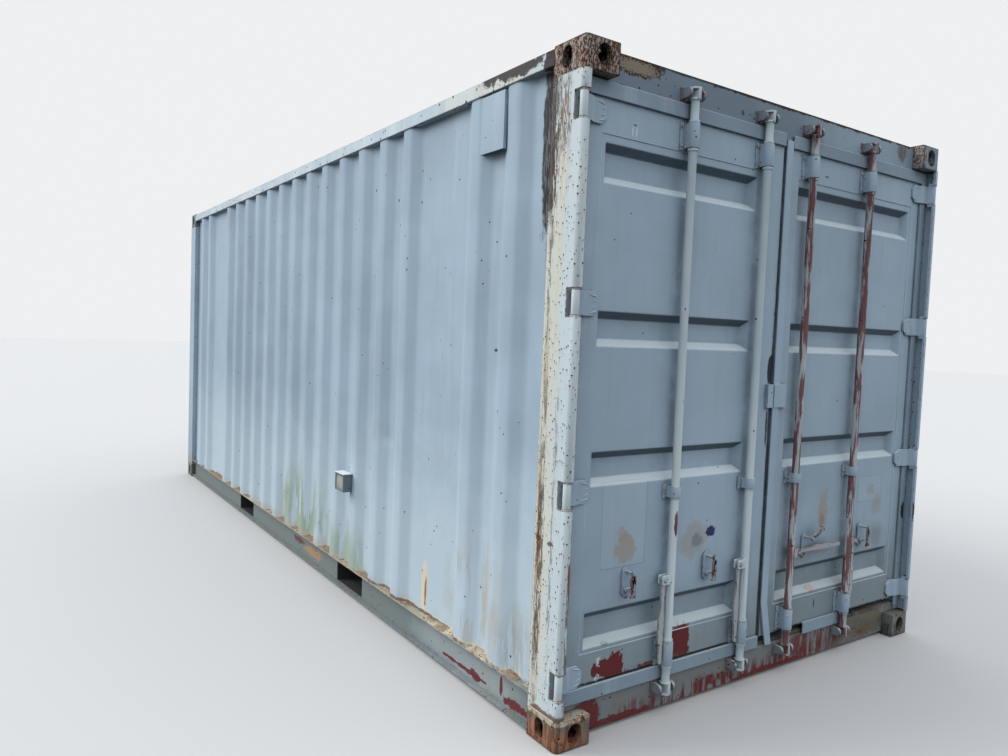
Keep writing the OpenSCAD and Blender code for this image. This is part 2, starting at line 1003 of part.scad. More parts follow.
// Hinge strap and knuckle about the pin of the left door: the arm steps over the seal
module door_hinge() {
  back = face_setback - pin_back;
  front = back - blade_t;
  seal_front = back - seal_t - 1;
  seal_in = jamb_in + door_side_gap + seal_on_door - pin_in;
  half = knuckle_h / 2;
  difference() {
    union() {
      cylinder(r = knuckle_r, h = knuckle_h, center = true);
      intersection() {
        linear_extrude(knuckle_h, center = true)
          polygon([
            [0.2 * knuckle_r, -0.98 * knuckle_r],
            [knuckle_r + 1, -0.1 * knuckle_r],
            [knuckle_r + 10, seal_front - arm_t],
            [seal_in - 3, seal_front - arm_t],
            [seal_in + 2 * blade_t, front],
            [blade_reach, front],
            [blade_reach, back],
            [seal_in, back],
            [seal_in, seal_front],
            [knuckle_r + 2, seal_front],
            [0.8 * knuckle_r, 0.6 * knuckle_r]
          ]);
        face_plate(-2 * knuckle_r, back + eps)
          polygon([
            [0, -half],
            [blade_reach - blade_cut, -half],
            [blade_reach, -half + blade_cut],
            [blade_reach, half - blade_cut],
            [blade_reach - blade_cut, half],
            [0, half]
          ]);
      }
    }
    cylinder(r = pin_r + pin_clear, h = knuckle_h + 2 * eps, center = true);
  }
}

module door_hinges() {
  for (z = hinge_z)
    translate([-pin_x, pin_y, z])
      door_hinge();
}

module left_door_hinges() {
  color(PAINT)
    door_end()
      door_hinges();
}

module right_door_hinges() {
  color(PAINT)
    door_end()
      mirror([1, 0, 0])
        door_hinges();
}

// Bracket round a rod: base plate seated at the given y, housing and bore
module rod_bracket(high, flange, seat) {
  difference() {
    union() {
      block(
        [-bracket_r - flange, face_y - plate_t, -high / 2 - 6],
        [bracket_r + flange, seat, high / 2 + 6]
      );
      block([-bracket_r, rod_y, -high / 2], [bracket_r, face_y - plate_t, high / 2]);
      translate([0, rod_y, 0])
        cylinder(r = bracket_r, h = high, center = true);
    }
    translate([0, rod_y, 0])
      cylinder(r = rod_r + rod_clear, h = high + 20, center = true);
  }
}

module handle_retainer() {
  plate_w = 44;
  plate_h = 120;
  middle = pivot_z + 10;
  shelf = pivot_z - 12;
  handle_back = rod_y + handle_t / 2;
  face_plate(face_y - plate_t, face_y + panel_inset) {
    translate([-plate_w / 2, middle - plate_h / 2 + plate_w / 2])
      square([plate_w, plate_h - plate_w]);
    for (side = [-1, 1])
      translate([0, middle + side * (plate_h - plate_w) / 2])
        circle(d = plate_w);
  }
  block([-18, handle_back + 5, shelf - 10], [18, face_y - plate_t, shelf]);
  catch_front = rod_y - handle_t / 2 - 5 - handle_t;
  translate([0, 0, catch_z])
    rotate([90, 0, 0])
      translate([0, 0, -face_y + plate_t - eps])
        cylinder(r = 5, h = face_y - plate_t - catch_front + 2 * eps);
}

module lock_brackets(first) {
  for (i = [first, first + 1]) {
    translate([rod_x[i], 0, 0]) {
      for (z = bearing_z)
        translate([0, 0, z])
          rod_bracket(bearing_h, 20, face_y);
      translate([0, 0, guide_z])
        rod_bracket(guide_h, 14, face_y + panel_inset);
    }
    translate([catch_x[i], 0, 0])
      handle_retainer();
  }
}

module left_lock_brackets() {
  color(PAINT)
    door_end() {
      lock_brackets(0);
      block([-overlap_left, seal_y - plate_t, overlap_foot], [-door_mid, face_y, overlap_head]);
    }
}

module right_lock_brackets() {
  color(PAINT)
    door_end()
      lock_brackets(2);
}

module centre_strip() {
  left = -1;
  right = left + strip_w;
  head_z = cam_z[1] - cam_h / 2 - 38;
  bend_z = 345;
  tip_z = 142;
  tip_shift = 45;
  color(PALE)
    door_end() {
      difference() {
        face_plate(seal_y, face_y)
          polygon([
            [left, head_z],
            [right, head_z],
            [right, bend_z],
            [right + tip_shift, tip_z],
            [left + tip_shift, tip_z],
            [left, bend_z]
          ]);
        block([-50, face_y - seal_clear, 0], [200, face_y + eps, door_foot]);
        block([-50, face_y - seal_clear, door_head], [200, face_y + eps, box_height]);
        block([-50, face_y - seal_clear, 0], [door_mid, face_y + eps, box_height]);
      }
      block([left, seal_y - plate_t, overlap_foot], [right, seal_y, overlap_head]);
      block([right, seal_y - plate_t, overlap_foot], [overlap_right, face_y, overlap_head]);
    }
}

// Rod with its cams, collars and handle fork; side is the way the fork points
module lock_rod(side) {
  ear_gap = 2;
  ear_t = 8;
  ear_half = 19;
  ear_round = 7;
  ear_end = pivot_out + handle_eye;
  collar_r = rod_r + 4;
  collar_h = 10;
  low = cam_z[0] + cam_h / 2;
  high = cam_z[1] - cam_h / 2;
  translate([0, rod_y, 0]) {
    translate([0, 0, low])
      cylinder(r = rod_r, h = high - low);
    translate([0, 0, cam_z[1]])
      rod_cam();
    translate([0, 0, cam_z[0]])
      mirror([0, 0, 1])
        rod_cam();
    for (z = bearing_z, s = [-1, 1])
      translate([0, 0, z + s * (bearing_h / 2 + 2 + collar_h / 2)])
        cylinder(r = collar_r, h = collar_h, center = true);
    for (s = [-1, 1])
      translate([0, s * (handle_t / 2 + ear_gap + ear_t / 2), pivot_z])
        rotate([90, 0, 0])
          mirrored_if(side < 0)
            linear_extrude(ear_t, center = true)
              for (flip = [0, 1])
                mirror([0, flip])
                  translate([ear_end, -ear_half])
                    mirror([1, 0])
                      rounded_corner(ear_end - rod_r / 2, 1.5 * ear_half, ear_round);
    translate([side * pivot_out, 0, pivot_z])
      rotate([90, 0, 0])
        cylinder(r = pivot_r, h = handle_t + 2 * ear_gap + eps, center = true);
  }
}

// Cam of the upper end: flared collar at its foot, upright web and cap
module rod_cam() {
  flare_h = 12;
  cap_h = 8;
  web_t = 16;
  translate([0, 0, -cam_h / 2]) {
    cylinder(r1 = cam_r, r2 = rod_r - 4, h = flare_h);
    intersection() {
      cylinder(r = cam_r, h = cam_h);
      translate([-web_t / 2, -cam_r, 2])
        cube([web_t, 2 * cam_r, cam_h - 2]);
    }
    translate([0, 0, cam_h - cap_h])
      cylinder(r = cam_r, h = cap_h);
  }
}

// Handle hanging from its pivot at the origin
module handle_bar() {
  clear = 0.15;
  half = 9;
  difference() {
    face_plate(-handle_t / 2, handle_t / 2) {
      circle(handle_eye);
      polygon([
        [-half, 0],
        [-half, -0.33 * handle_l],
        [-half - 8, -0.42 * handle_l],
        [-half - 8, -0.72 * handle_l],
        [-half - 1, -0.82 * handle_l],
        [-half - 1, -handle_l + 10],
        [half + 1, -handle_l + 10],
        [half + 1, -0.82 * handle_l],
        [half + 3, -0.72 * handle_l],
        [half + 3, -0.42 * handle_l],
        [half, -0.33 * handle_l],
        [half, 0]
      ]);
      translate([0, -handle_l + 10])
        circle(10);
    }
    rotate([90, 0, 0])
      cylinder(r = pivot_r + clear, h = handle_t + 2 * eps, center = true);
  }
}

module handle(index, side, turn) {
  translate([rod_x[index] + side * pivot_out, rod_y, pivot_z])
    rotate([0, turn, 0])
      mirrored_if(side > 0)
        handle_bar();
}

// Catch hanging from its pivot at the origin
module catch_bar() {
  half = 11;
  difference() {
    face_plate(-handle_t / 2, handle_t / 2) {
      circle(12);
      polygon([
        [-half, 0],
        [-half, -catch_l + 14],
        [-half - 5, -catch_l + 8],
        [-half - 5, -catch_l],
        [half, -catch_l],
        [half, 0]
      ]);
    }
    rotate([90, 0, 0])
      cylinder(r = 5.15, h = handle_t + 2 * eps, center = true);
  }
}

module catch(index, turn) {
  translate([catch_x[index], rod_y - handle_t - 5, catch_z])
    rotate([0, turn, 0])
      catch_bar();
}

module lock_rod_1() {
  color(PAINT)
    door_end()
      translate([rod_x[0], 0, 0])
        lock_rod(-1);
}

module lock_rod_2() {
  color(PAINT)
    door_end()
      translate([rod_x[1], 0, 0])
        lock_rod(-1);
}

module lock_rod_3() {
  color(PRIMER)
    door_end()
      translate([rod_x[2], 0, 0])
        lock_rod(1);
}

module lock_rod_4() {
  color(PRIMER)
    door_end()
      translate([rod_x[3], 0, 0])
        lock_rod(1);
}

module handle_1() {
  color(PAINT)
    door_end()
      handle(0, -1, 0);
}

module handle_2() {
  color(PAINT)
    door_end()
      handle(1, -1, 0);
}

module handle_3() {
  color(PAINT)
    door_end()
      handle(2, 1, -90);
}

module handle_4() {
  color(PAINT)
    door_end()
      handle(3, 1, 0);
}

module catch_1() {
  color(RUST)
    door_end()
      catch(0, 0);
}

module catch_2() {
  color(RUST)
    door_end()
      catch(1, 0);
}

module catch_3() {
  color(RUST)
    door_end()
      catch(2, -catch_stored);
}

module catch_4() {
  color(RUST)
    door_end()
      catch(3, 0);
}

bottom_castings();
top_castings();
left_door_post();
right_door_post();
hinge_pins();
front_posts();
door_header();
door_sill();
cam_keepers();
top_side_rails();
bottom_side_rails();
front_top_rail();
front_bottom_rail();
left_wall();
right_wall();
front_wall();
roof_panel();
floor_boards();
cross_members();
fork_pockets();
ventilators();
wall_lamp();
left_door_frame();
left_door_panel();
left_door_seal();
left_door_hinges();
left_lock_brackets();
right_door_frame();
right_door_panel();
right_door_seal();
right_door_hinges();
right_lock_brackets();
centre_strip();
lock_rod_1();
lock_rod_2();
lock_rod_3();
lock_rod_4();
handle_1();
handle_2();
handle_3();
handle_4();
catch_1();
catch_2();
catch_3();
catch_4();
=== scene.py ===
"""Looks of a weathered twenty foot freight container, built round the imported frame.

Every size is in metres. X runs along the container with the doors at +X, Z is up, and left and
right are as seen by someone facing the doors.
"""

import logging
import math
from dataclasses import dataclass
from enum import Enum
from typing import Callable, Iterable, Sequence, Union

import bpy
import numpy as np
from mathutils import Euler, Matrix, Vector


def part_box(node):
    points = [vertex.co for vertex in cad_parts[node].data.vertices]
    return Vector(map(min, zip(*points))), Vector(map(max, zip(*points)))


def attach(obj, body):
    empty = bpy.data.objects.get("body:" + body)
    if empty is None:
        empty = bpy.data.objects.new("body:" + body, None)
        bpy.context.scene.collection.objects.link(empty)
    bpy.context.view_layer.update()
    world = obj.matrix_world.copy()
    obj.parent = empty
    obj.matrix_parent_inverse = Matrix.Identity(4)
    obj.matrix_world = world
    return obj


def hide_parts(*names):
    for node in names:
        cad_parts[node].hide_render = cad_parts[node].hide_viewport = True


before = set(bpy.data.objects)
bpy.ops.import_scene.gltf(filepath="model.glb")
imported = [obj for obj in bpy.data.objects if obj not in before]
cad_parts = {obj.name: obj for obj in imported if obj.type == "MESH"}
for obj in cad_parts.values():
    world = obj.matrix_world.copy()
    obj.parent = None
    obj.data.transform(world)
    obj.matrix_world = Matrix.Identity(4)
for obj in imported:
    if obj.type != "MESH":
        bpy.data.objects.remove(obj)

LOG = logging.getLogger("container")
Point = tuple[float, float, float]
Pair = tuple[float, float]
Colour = tuple[float, float, float, float]
Socket = bpy.types.NodeSocket
Value = Union[float, Sequence[float], Socket]
Row = Sequence[object]
FREE = 50.0
DOOR_X = 3.0
SHEET_EDGE = 50.0
FACING_OUT: Point = (1.0, 0.0, 0.0)
FACING_LEFT: Point = (0.0, -1.0, 0.0)


def linear(code: str) -> Colour:
    """Turns a colour as written on a paint card into the renderer's linear values.

    Args:
        code: The colour as a hash sign and six hexadecimal digits.

    Returns:
        Red, green, blue and a full alpha.
    """
    parts = [int(code[i : i + 2], 16) / 255 for i in (1, 3, 5)]
    red, green, blue = [p / 12.92 if p <= 0.04045 else ((p + 0.055) / 1.055) ** 2.4 for p in parts]
    return red, green, blue, 1.0


class Tone(Enum):
    """Colours of the coats, stains, metals and painted shade."""

    PAINT = "#9fb3c3"
    PAINT_LIGHT = "#b4c5cf"
    PAINT_DEEP = "#8b9dab"
    SHADE = "#6f7e8a"
    SLATE = "#89939a"
    GREEN_GREY = "#737c79"
    STONE = "#a9b2b5"
    CHALK = "#d5dede"
    CREAM = "#cdc7b0"
    BONE = "#b4a994"
    PRIMER = "#632c2e"
    MAUVE = "#8e8b93"
    RUST = "#8c4b28"
    RUST_PALE = "#b08862"
    RUST_BROWN = "#5b3a28"
    RUST_DARK = "#2c1d17"
    SCAB = "#38261e"
    CLAY = "#9c6f58"
    # Black of soot, burns and dark joints, and of the painted shade in corners and hollows.
    SOOT_AND_SHADE = "#222120"
    # Dark blue grey of a stain and of the painted shade on faces that look down and in recesses.
    STAIN_AND_SHADE = "#3a4650"
    POST_PALE = "#c1cdcf"
    DIRT = "#857a6a"
    SAND = "#a69c86"
    MOSS = "#7b8a50"
    TAN = "#9b8c75"
    INK = "#241d55"
    GALVANISED = "#777c7e"
    UMBER = "#4d3a2f"
    SLUDGE = "#5e5a4e"
    UNDERSIDE = "#3a3c3d"
    BOARD = "#8d6a45"
    BOARD_DARK = "#4e3823"
    LAMP_BOX = "#6a747c"
    LAMP_LID = "#d6dcdd"
    PANE = "#a9aca2"

    def rgba(self) -> Colour:
        """Returns the colour in linear values."""
        return linear(self.value)


class Sheet:
    """Short calls that lay out one node tree."""

    def __init__(self, tree: bpy.types.NodeTree) -> None:
        """Keeps the tree that the calls add nodes to.

        Args:
            tree: A material's node tree or a node group.
        """
        self.tree = tree

    def node(self, kind: str, **options: object) -> bpy.types.Node:
        """Adds a node.

        Args:
            kind: Blender's name of the node type.
            **options: Attributes to set on the node.

        Returns:
            The new node.
        """
        made = self.tree.nodes.new(kind)
        for name, value in options.items():
            setattr(made, name, value)
        return made

    def put(self, socket: Socket, value: Value) -> None:
        """Links a socket to another one, or sets it to a constant.

        Args:
            socket: The input to fill.
            value: An output socket, a number, or a vector or colour.
        """
        if isinstance(value, Socket):
            self.tree.links.new(value, socket)
        else:
            socket.default_value = value

    def maths(self, operation: str, first: Value, second: Value = 0.0, clamp: bool = False) -> Socket:
        """Combines two numbers.

        Args:
            operation: Blender's name of the operation.
            first: The first number.
            second: The second number.
            clamp: Whether the result is kept between 0 and 1.

        Returns:
            The result's socket.
        """
        made = self.node("ShaderNodeMath", operation=operation, use_clamp=clamp)
        self.put(made.inputs[0], first)
        self.put(made.inputs[1], second)
        return made.outputs[0]

    def times(self, first: Value, second: Value) -> Socket:
        """Multiplies two numbers."""
        return self.maths("MULTIPLY", first, second)

    def plus(self, first: Value, second: Value) -> Socket:
        """Adds two numbers."""
        return self.maths("ADD", first, second)

    def rest(self, share: Value) -> Socket:
        """Takes a share away from 1."""
        return self.maths("SUBTRACT", 1.0, share)

    def line(self, value: Value, rate: float, start: float) -> Socket:
        """Reads a straight line at a value.

        Args:
            value: Where the line is read.
            rate: Its rise for each 1 of the value.
            start: Its height at 0.

        Returns:
            The height's socket.
        """
        made = self.maths("MULTIPLY_ADD", value, rate)
        made.node.inputs[2].default_value = start
        return made

    def parts(self, place: Value) -> Sequence[Socket]:
        """Splits a vector.

        Args:
            place: The vector.

        Returns:
            The sockets of its X, Y and Z.
        """
        made = self.node("ShaderNodeSeparateXYZ")
        self.put(made.inputs[0], place)
        return made.outputs

    def upright(self, height: Value) -> Socket:
        """Makes a vector of 1, 1 and a height.

        Args:
            height: Its Z.

        Returns:
            The vector's socket.
        """
        made = self.node("ShaderNodeCombineXYZ")
        for index, part in enumerate((1.0, 1.0, height)):
            self.put(made.inputs[index], part)
        return made.outputs[0]

    def vector(self, operation: str, first: Value, second: Value) -> Socket:
        """Combines two vectors.

        Args:
            operation: Blender's name of the operation.
            first: The first vector.
            second: The second vector.

        Returns:
            The vector result's socket.
        """
        made = self.node("ShaderNodeVectorMath", operation=operation)
        self.put(made.inputs[0], first)
        self.put(made.inputs[1], second)
        return made.outputs["Value"] if operation in ("DOT_PRODUCT", "LENGTH") else made.outputs["Vector"]

    def noise(self, place: Socket, scale: Value, detail: float = 4.0, rough: float = 0.6) -> Socket:
        """Adds fractal noise.

        Args:
            place: The vector to read the noise at.
            scale: Waves in a metre.
            detail: Number of octaves.
            rough: Share of each finer octave.

        Returns:
            The noise, mostly between 0.3 and 0.7.
        """
        made = self.node("ShaderNodeTexNoise")
        self.put(made.inputs["Vector"], place)
        self.put(made.inputs["Scale"], scale)
        made.inputs["Detail"].default_value = detail
        made.inputs["Roughness"].default_value = rough
        return made.outputs[0]

    def waver(self, place: Socket, scale: Value, detail: float, rough: float) -> Socket:
        """Adds noise that sways about 0 in place of 0.5, with the same arguments."""
        return self.maths("SUBTRACT", self.noise(place, scale, detail, rough), 0.5)

    def step(self, value: Value, low: Value, high: Value) -> Socket:
        """Rises smoothly from 0 at low to 1 at high.

        Args:
            value: The number to remap.
            low: Where the rise starts.
            high: Where the rise ends.

        Returns:
            The remapped number's socket.
        """
        made = self.node("ShaderNodeMapRange", interpolation_type="SMOOTHSTEP")
        for socket, part in zip(("Value", "From Min", "From Max"), (value, low, high)):
            self.put(made.inputs[socket], part)
        return made.outputs[0]

    def blend(self, share: Value, first: Value, second: Value) -> Socket:
        """Mixes two colours.

        Args:
            share: How much of the second colour shows.
            first: The first colour.
            second: The second colour.

        Returns:
            The mixed colour's socket.
        """
        made = self.node("ShaderNodeMix", data_type="RGBA")
        for index, part in ((0, share), (6, first), (7, second)):
            self.put(made.inputs[index], part)
        return made.outputs[2]

    def coat(self, under: Socket, tone: Tone, mask: Socket, strength: Value = 1.0) -> Socket:
        """Lays a coat of one tone over a colour.

        Args:
            under: The colour below.
            tone: The coat's tone.
            mask: Where the coat lies.
            strength: How much it covers there.

        Returns:
            The colour's socket.
        """
        share = mask if strength == 1.0 else self.times(mask, strength)
        return self.blend(share, under, tone.rgba())

    def between(self, share: Value, first: Value, second: Value) -> Socket:
        """Mixes two numbers.

        Args:
            share: How much of the second number counts.
            first: The first number.
            second: The second number.

        Returns:
            The mixed number's socket.
        """
        made = self.node("ShaderNodeMix", data_type="FLOAT")
        for index, part in ((0, share), (2, first), (3, second)):
            self.put(made.inputs[index], part)
        return made.outputs[0]


Inputs = dict[str, Socket]


@dataclass(frozen=True)
class Effect:
    """A surface effect that several finishes share: one node group that puts out masks.

    Attributes:
        name: The group's name.
        inputs: Each input's name and its value when nothing is said.
        layout: The function that lays out the group's nodes and returns a mask for each output.
        outputs: The names of the masks.
    """

    name: str
    inputs: dict[str, Union[float, Point]]
    layout: Callable[[Sheet, Inputs], Sequence[Socket]]
    outputs: tuple[str, ...] = ("Mask",)

    def group(self) -> bpy.types.NodeTree:
        """Builds the node group at the first call and hands out the same one later.

        Returns:
            The node group.
        """
        if self.name in bpy.data.node_groups:
            return bpy.data.node_groups[self.name]
        tree = bpy.data.node_groups.new(self.name, "ShaderNodeTree")
        for name, value in self.inputs.items():
            kind = "NodeSocketFloat" if isinstance(value, float) else "NodeSocketVector"
            tree.interface.new_socket(name, in_out="INPUT", socket_type=kind).default_value = value
        for name in self.outputs:
            tree.interface.new_socket(name, in_out="OUTPUT", socket_type="NodeSocketFloat")
        sheet = Sheet(tree)
        entry, leave = sheet.node("NodeGroupInput"), sheet.node("NodeGroupOutput")
        masks = self.layout(sheet, {name: entry.outputs[name] for name in self.inputs})
        for name, mask in zip(self.outputs, masks):
            sheet.put(leave.inputs[name], mask)
        return tree

    def masks(self, sheet: Sheet, **values: Value) -> list[Socket]:
        """Places the effect in a material.

        Args:
            sheet: The material's sheet.
            **values: Values of the group's inputs, with underscores for spaces.

        Returns:
            The sockets of all masks.
        """
        made = sheet.node("ShaderNodeGroup", node_tree=self.group())
        for name, value in values.items():
            sheet.put(made.inputs[name.replace("_", " ")], value)
        return [made.outputs[name] for name in self.outputs]

    def mask(self, sheet: Sheet, **values: Value) -> Socket:
        """Places the effect in a material and returns its first mask."""
        return self.masks(sheet, **values)[0]


def lay_specks(sheet: Sheet, given: Inputs) -> Sequence[Socket]:
    """Lays out blotches whose share of the surface is set by Coverage.

    Args:
        sheet: The group's sheet.
        given: Its inputs.

    Returns:
        The mask.
    """
    field_value = sheet.noise(given["Place"], given["Scale"], 8.0, 0.68)
    edge = sheet.line(given["Coverage"], -0.5, 0.78)
    return (sheet.step(field_value, edge, sheet.plus(edge, given["Softness"])),)


def lay_streaks(sheet: Sheet, given: Inputs) -> Sequence[Socket]:
    """Lays out runs that hang down the surface.

    Args:
        sheet: The group's sheet.
        given: Its inputs.

    Returns:
        The mask.
    """
    flat = sheet.upright(sheet.maths("DIVIDE", 1.0, given["Length"]))
    place = sheet.vector("MULTIPLY", given["Place"], flat)
    field_value = sheet.noise(place, given["Scale"], 5.0, 0.62)
    edge = sheet.line(given["Coverage"], -0.45, 0.72)
    return (sheet.step(field_value, edge, sheet.plus(edge, given["Softness"])),)


def lay_patch(sheet: Sheet, given: Inputs) -> Sequence[Socket]:
    """Lays out one ragged patch, round at Corner 2 and square at Corner 8 and more.

    Args:
        sheet: The group's sheet.
        given: Its inputs.

    Returns:
        The mask.
    """
    away = sheet.vector("SUBTRACT", given["Place"], given["Centre"])
    away = sheet.vector("ABSOLUTE", sheet.vector("DIVIDE", away, given["Half Size"]), (0, 0, 0))
    parts = sheet.parts(away)
    powers = [sheet.maths("POWER", part, given["Corner"]) for part in parts]
    total = sheet.plus(sheet.plus(powers[0], powers[1]), powers[2])
    reach = sheet.maths("POWER", total, sheet.maths("DIVIDE", 1.0, given["Corner"]))
    waver = sheet.waver(given["Place"], given["Grain"], 6.0, 0.65)
    reach = sheet.plus(reach, sheet.times(waver, given["Ragged"]))
    inside = sheet.rest(given["Softness"])
    body = sheet.rest(sheet.step(reach, inside, 1.0))
    core = sheet.maths("SUBTRACT", inside, given["Rim"])
    hollow = sheet.rest(sheet.step(reach, core, inside))
    return (sheet.maths("SUBTRACT", body, sheet.times(hollow, given["Hollow"])),)


def lay_wear(sheet: Sheet, given: Inputs) -> Sequence[Socket]:
    """Lays out wear along edges, found by comparing the surface with a rounded copy.

    Args:
        sheet: The group's sheet.
        given: Its inputs.

    Returns:
        The mask.
    """
    rounded = sheet.node("ShaderNodeBevel", samples=4)
    sheet.put(rounded.inputs["Radius"], given["Radius"])
    plain = sheet.node("ShaderNodeNewGeometry").outputs["Normal"]
    turn = sheet.rest(sheet.vector("DOT_PRODUCT", rounded.outputs[0], plain))
    broken = sheet.noise(given["Place"], given["Grain"], 6.0, 0.7)
    edge = sheet.step(turn, 0.004, 0.09)
    low = sheet.maths("SUBTRACT", 0.72, sheet.times(given["Coverage"], 0.45))
    return (sheet.times(edge, sheet.step(broken, low, sheet.plus(low, 0.08))),)


def lay_crevice_shade(sheet: Sheet, given: Inputs) -> Sequence[Socket]:
    """Lays out darkening in corners and hollows from ambient occlusion, used as painted shade and, in
    corners, also as dirt.

    Args:
        sheet: The group's sheet.
        given: Its inputs.

    Returns:
        The mask.
    """
    open_sky = sheet.node("ShaderNodeAmbientOcclusion", samples=4)
    sheet.put(open_sky.inputs["Distance"], given["Reach"])
    shut = sheet.rest(open_sky.outputs["AO"])
    broken = sheet.noise(given["Place"], given["Grain"], 5.0, 0.7)
    return (sheet.times(sheet.step(shut, given["Low"], given["High"]), sheet.step(broken, 0.3, 0.62)),)


def lay_rise(sheet: Sheet, given: Inputs) -> Sequence[Socket]:
    """Lays out a tide that is full at Foot and gone at Top, with a ragged edge.

    Args:
        sheet: The group's sheet.
        given: Its inputs.

    Returns:
        The mask.
    """
    parts = sheet.parts(given["Place"])
    waver = sheet.waver(given["Place"], given["Grain"], 5.0, 0.65)
    height = sheet.plus(parts[2], sheet.times(waver, given["Ragged"]))
    return (sheet.rest(sheet.step(height, given["Foot"], given["Top"])),)


def lay_dots(sheet: Sheet, given: Inputs) -> Sequence[Socket]:
    """Lays out rusted-through dots and the runs that hang from them.

    Args:
        sheet: The group's sheet.
        given: Its inputs.

    Returns:
        The dots and their runs.
    """
    tall = sheet.upright(given["Stretch"])
    flat = sheet.vector("DIVIDE", given["Place"], tall)
    cells = sheet.node("ShaderNodeTexVoronoi")
    sheet.put(cells.inputs["Vector"], flat)
    sheet.put(cells.inputs["Scale"], given["Scale"])
    away = sheet.vector("MULTIPLY", sheet.vector("SUBTRACT", flat, cells.outputs["Position"]), tall)
    facing = sheet.node("ShaderNodeTexCoord").outputs["Normal"]
    depth = sheet.node("ShaderNodeVectorMath", operation="SCALE")
    sheet.put(depth.inputs[0], facing)
    sheet.put(depth.inputs["Scale"], sheet.vector("DOT_PRODUCT", away, facing))
    away = sheet.vector("SUBTRACT", away, depth.outputs[0])
    draws = sheet.node("ShaderNodeSeparateColor")
    sheet.put(draws.inputs[0], cells.outputs["Color"])
    shown = sheet.maths("LESS_THAN", draws.outputs[0], given["Coverage"])
    size = sheet.times(sheet.plus(0.35, draws.outputs[1]), given["Size"])
    waver = sheet.waver(given["Place"], 260.0, 3.0, 0.7)
    reach = sheet.plus(sheet.vector("LENGTH", away, ORIGIN), sheet.times(waver, given["Size"]))
    dot = sheet.rest(sheet.step(reach, sheet.times(size, 0.7), size))
    parts = sheet.parts(away)
    below = sheet.times(parts[2], -1.0)
    across = sheet.vector("LENGTH", sheet.vector("MULTIPLY", away, (1.0, 1.0, 0.0)), ORIGIN)
    narrow = sheet.rest(sheet.step(across, 0.0, sheet.times(size, 0.9)))
    end = sheet.times(draws.outputs[2], given["Run"])
    hang = sheet.rest(sheet.step(below, 0.0, end))
    hang = sheet.times(hang, sheet.maths("GREATER_THAN", below, 0.0005))
    run = sheet.times(narrow, hang)
    return sheet.times(dot, shown), sheet.times(run, shown)


def lay_tilt(sheet: Sheet, given: Inputs) -> Sequence[Socket]:
    """Lays out where the surface looks up and where it looks down, for painted light, dust and dirt on top
    faces and painted shade on faces that look down.

    Args:
        sheet: The group's sheet.
        given: Its inputs.

    Returns:
        The faces that look up and those that look down.
    """
    parts = sheet.parts(sheet.node("ShaderNodeTexCoord").outputs["Normal"])
    waver = sheet.waver(given["Place"], given["Grain"], 5.0, 0.7)
    rise = sheet.plus(parts[2], sheet.times(waver, 0.3))
    return sheet.step(rise, 0.2, 0.65), sheet.step(sheet.times(rise, -1.0), 0.2, 0.65)


ORIGIN: Point = (0.0, 0.0, 0.0)
SPECKS = Effect("specks", {"Place": ORIGIN, "Scale": 20.0, "Coverage": 0.3, "Softness": 0.04}, lay_specks)
STREAKS = Effect(
    "streaks",
    {"Place": ORIGIN, "Scale": 10.0, "Length": 12.0, "Coverage": 0.4, "Softness": 0.2},
    lay_streaks,
)
PATCH = Effect(
    "patch",
    {
        "Place": ORIGIN,
        "Centre": ORIGIN,
        "Half Size": (1.0, 1.0, 1.0),
        "Ragged": 0.3,
        "Grain": 12.0,
        "Corner": 4.0,
        "Softness": 0.1,
        "Rim": 0.04,
        "Hollow": 0.0,
    },
    lay_patch,
)
WEAR = Effect("edge_wear", {"Place": ORIGIN, "Radius": 0.006, "Grain": 30.0, "Coverage": 0.5}, lay_wear)
# Painted shade: darkening where ambient occlusion finds corners, hollows and recesses.
CREVICE_SHADE = Effect(
    "painted_crevice_shade",
    {"Place": ORIGIN, "Reach": 0.05, "Grain": 25.0, "Low": 0.3, "High": 0.9},
    lay_crevice_shade,
)
RISE = Effect("rise", {"Place": ORIGIN, "Foot": 0.0, "Top": 1.0, "Ragged": 0.3, "Grain": 6.0}, lay_rise)
DOTS = Effect(
    "dots",
    {"Place": ORIGIN, "Scale": 30.0, "Stretch": 2.5, "Coverage": 0.4, "Size": 0.006, "Run": 0.04},
    lay_dots,
    ("Dot", "Run"),
)
TILT = Effect("tilt", {"Place": ORIGIN, "Grain": 9.0}, lay_tilt, ("Up", "Down"))


@dataclass(frozen=True)
class Mark:
    """One stain, peel or painted field at a known place.

    Attributes:
        tone: Its colour.
        centre: Its middle.
        half: Its half size, FREE along a direction that doesn't limit it.
        strength: How much it covers the paint.
        ragged: How far its edge wanders, as a share of its half size.
        grain: Waves of that edge in a metre.
        corner: 2 for a round patch, 8 and more for a square one.
        soft: Width of its edge, as a share of its half size.
        streaks: Waves in a metre of the hanging runs that it is broken into, or 0.
        rim: Width of its line as a share of its half size if only its outline shows, or 0.
    """

    tone: Tone
    centre: Point
    half: Point
    strength: float = 1.0
    ragged: float = 0.6
    grain: float = 25.0
    corner: float = 3.0
    soft: float = 0.08
    streaks: float = 0.0
    rim: float = 0.0

    def cover(self, sheet: Sheet, place: Socket) -> Socket:
        """Lays out the mark's mask.

        Args:
            sheet: The material's sheet.
            place: The surface's own coordinates.

        Returns:
            The mask's socket.
        """
        mask = PATCH.mask(
            sheet,
            Place=place,
            Centre=self.centre,
            Half_Size=self.half,
            Ragged=self.ragged,
            Grain=self.grain,
            Corner=self.corner,
            Softness=self.soft,
            Rim=self.rim,
            Hollow=1.0 if self.rim else 0.0,
        )
        if self.streaks:
            runs = STREAKS.mask(
                sheet, Place=place, Scale=self.streaks, Length=7.0, Coverage=0.6, Softness=0.07
            )
            mask = sheet.times(mask, runs)
        return sheet.times(mask, self.strength)


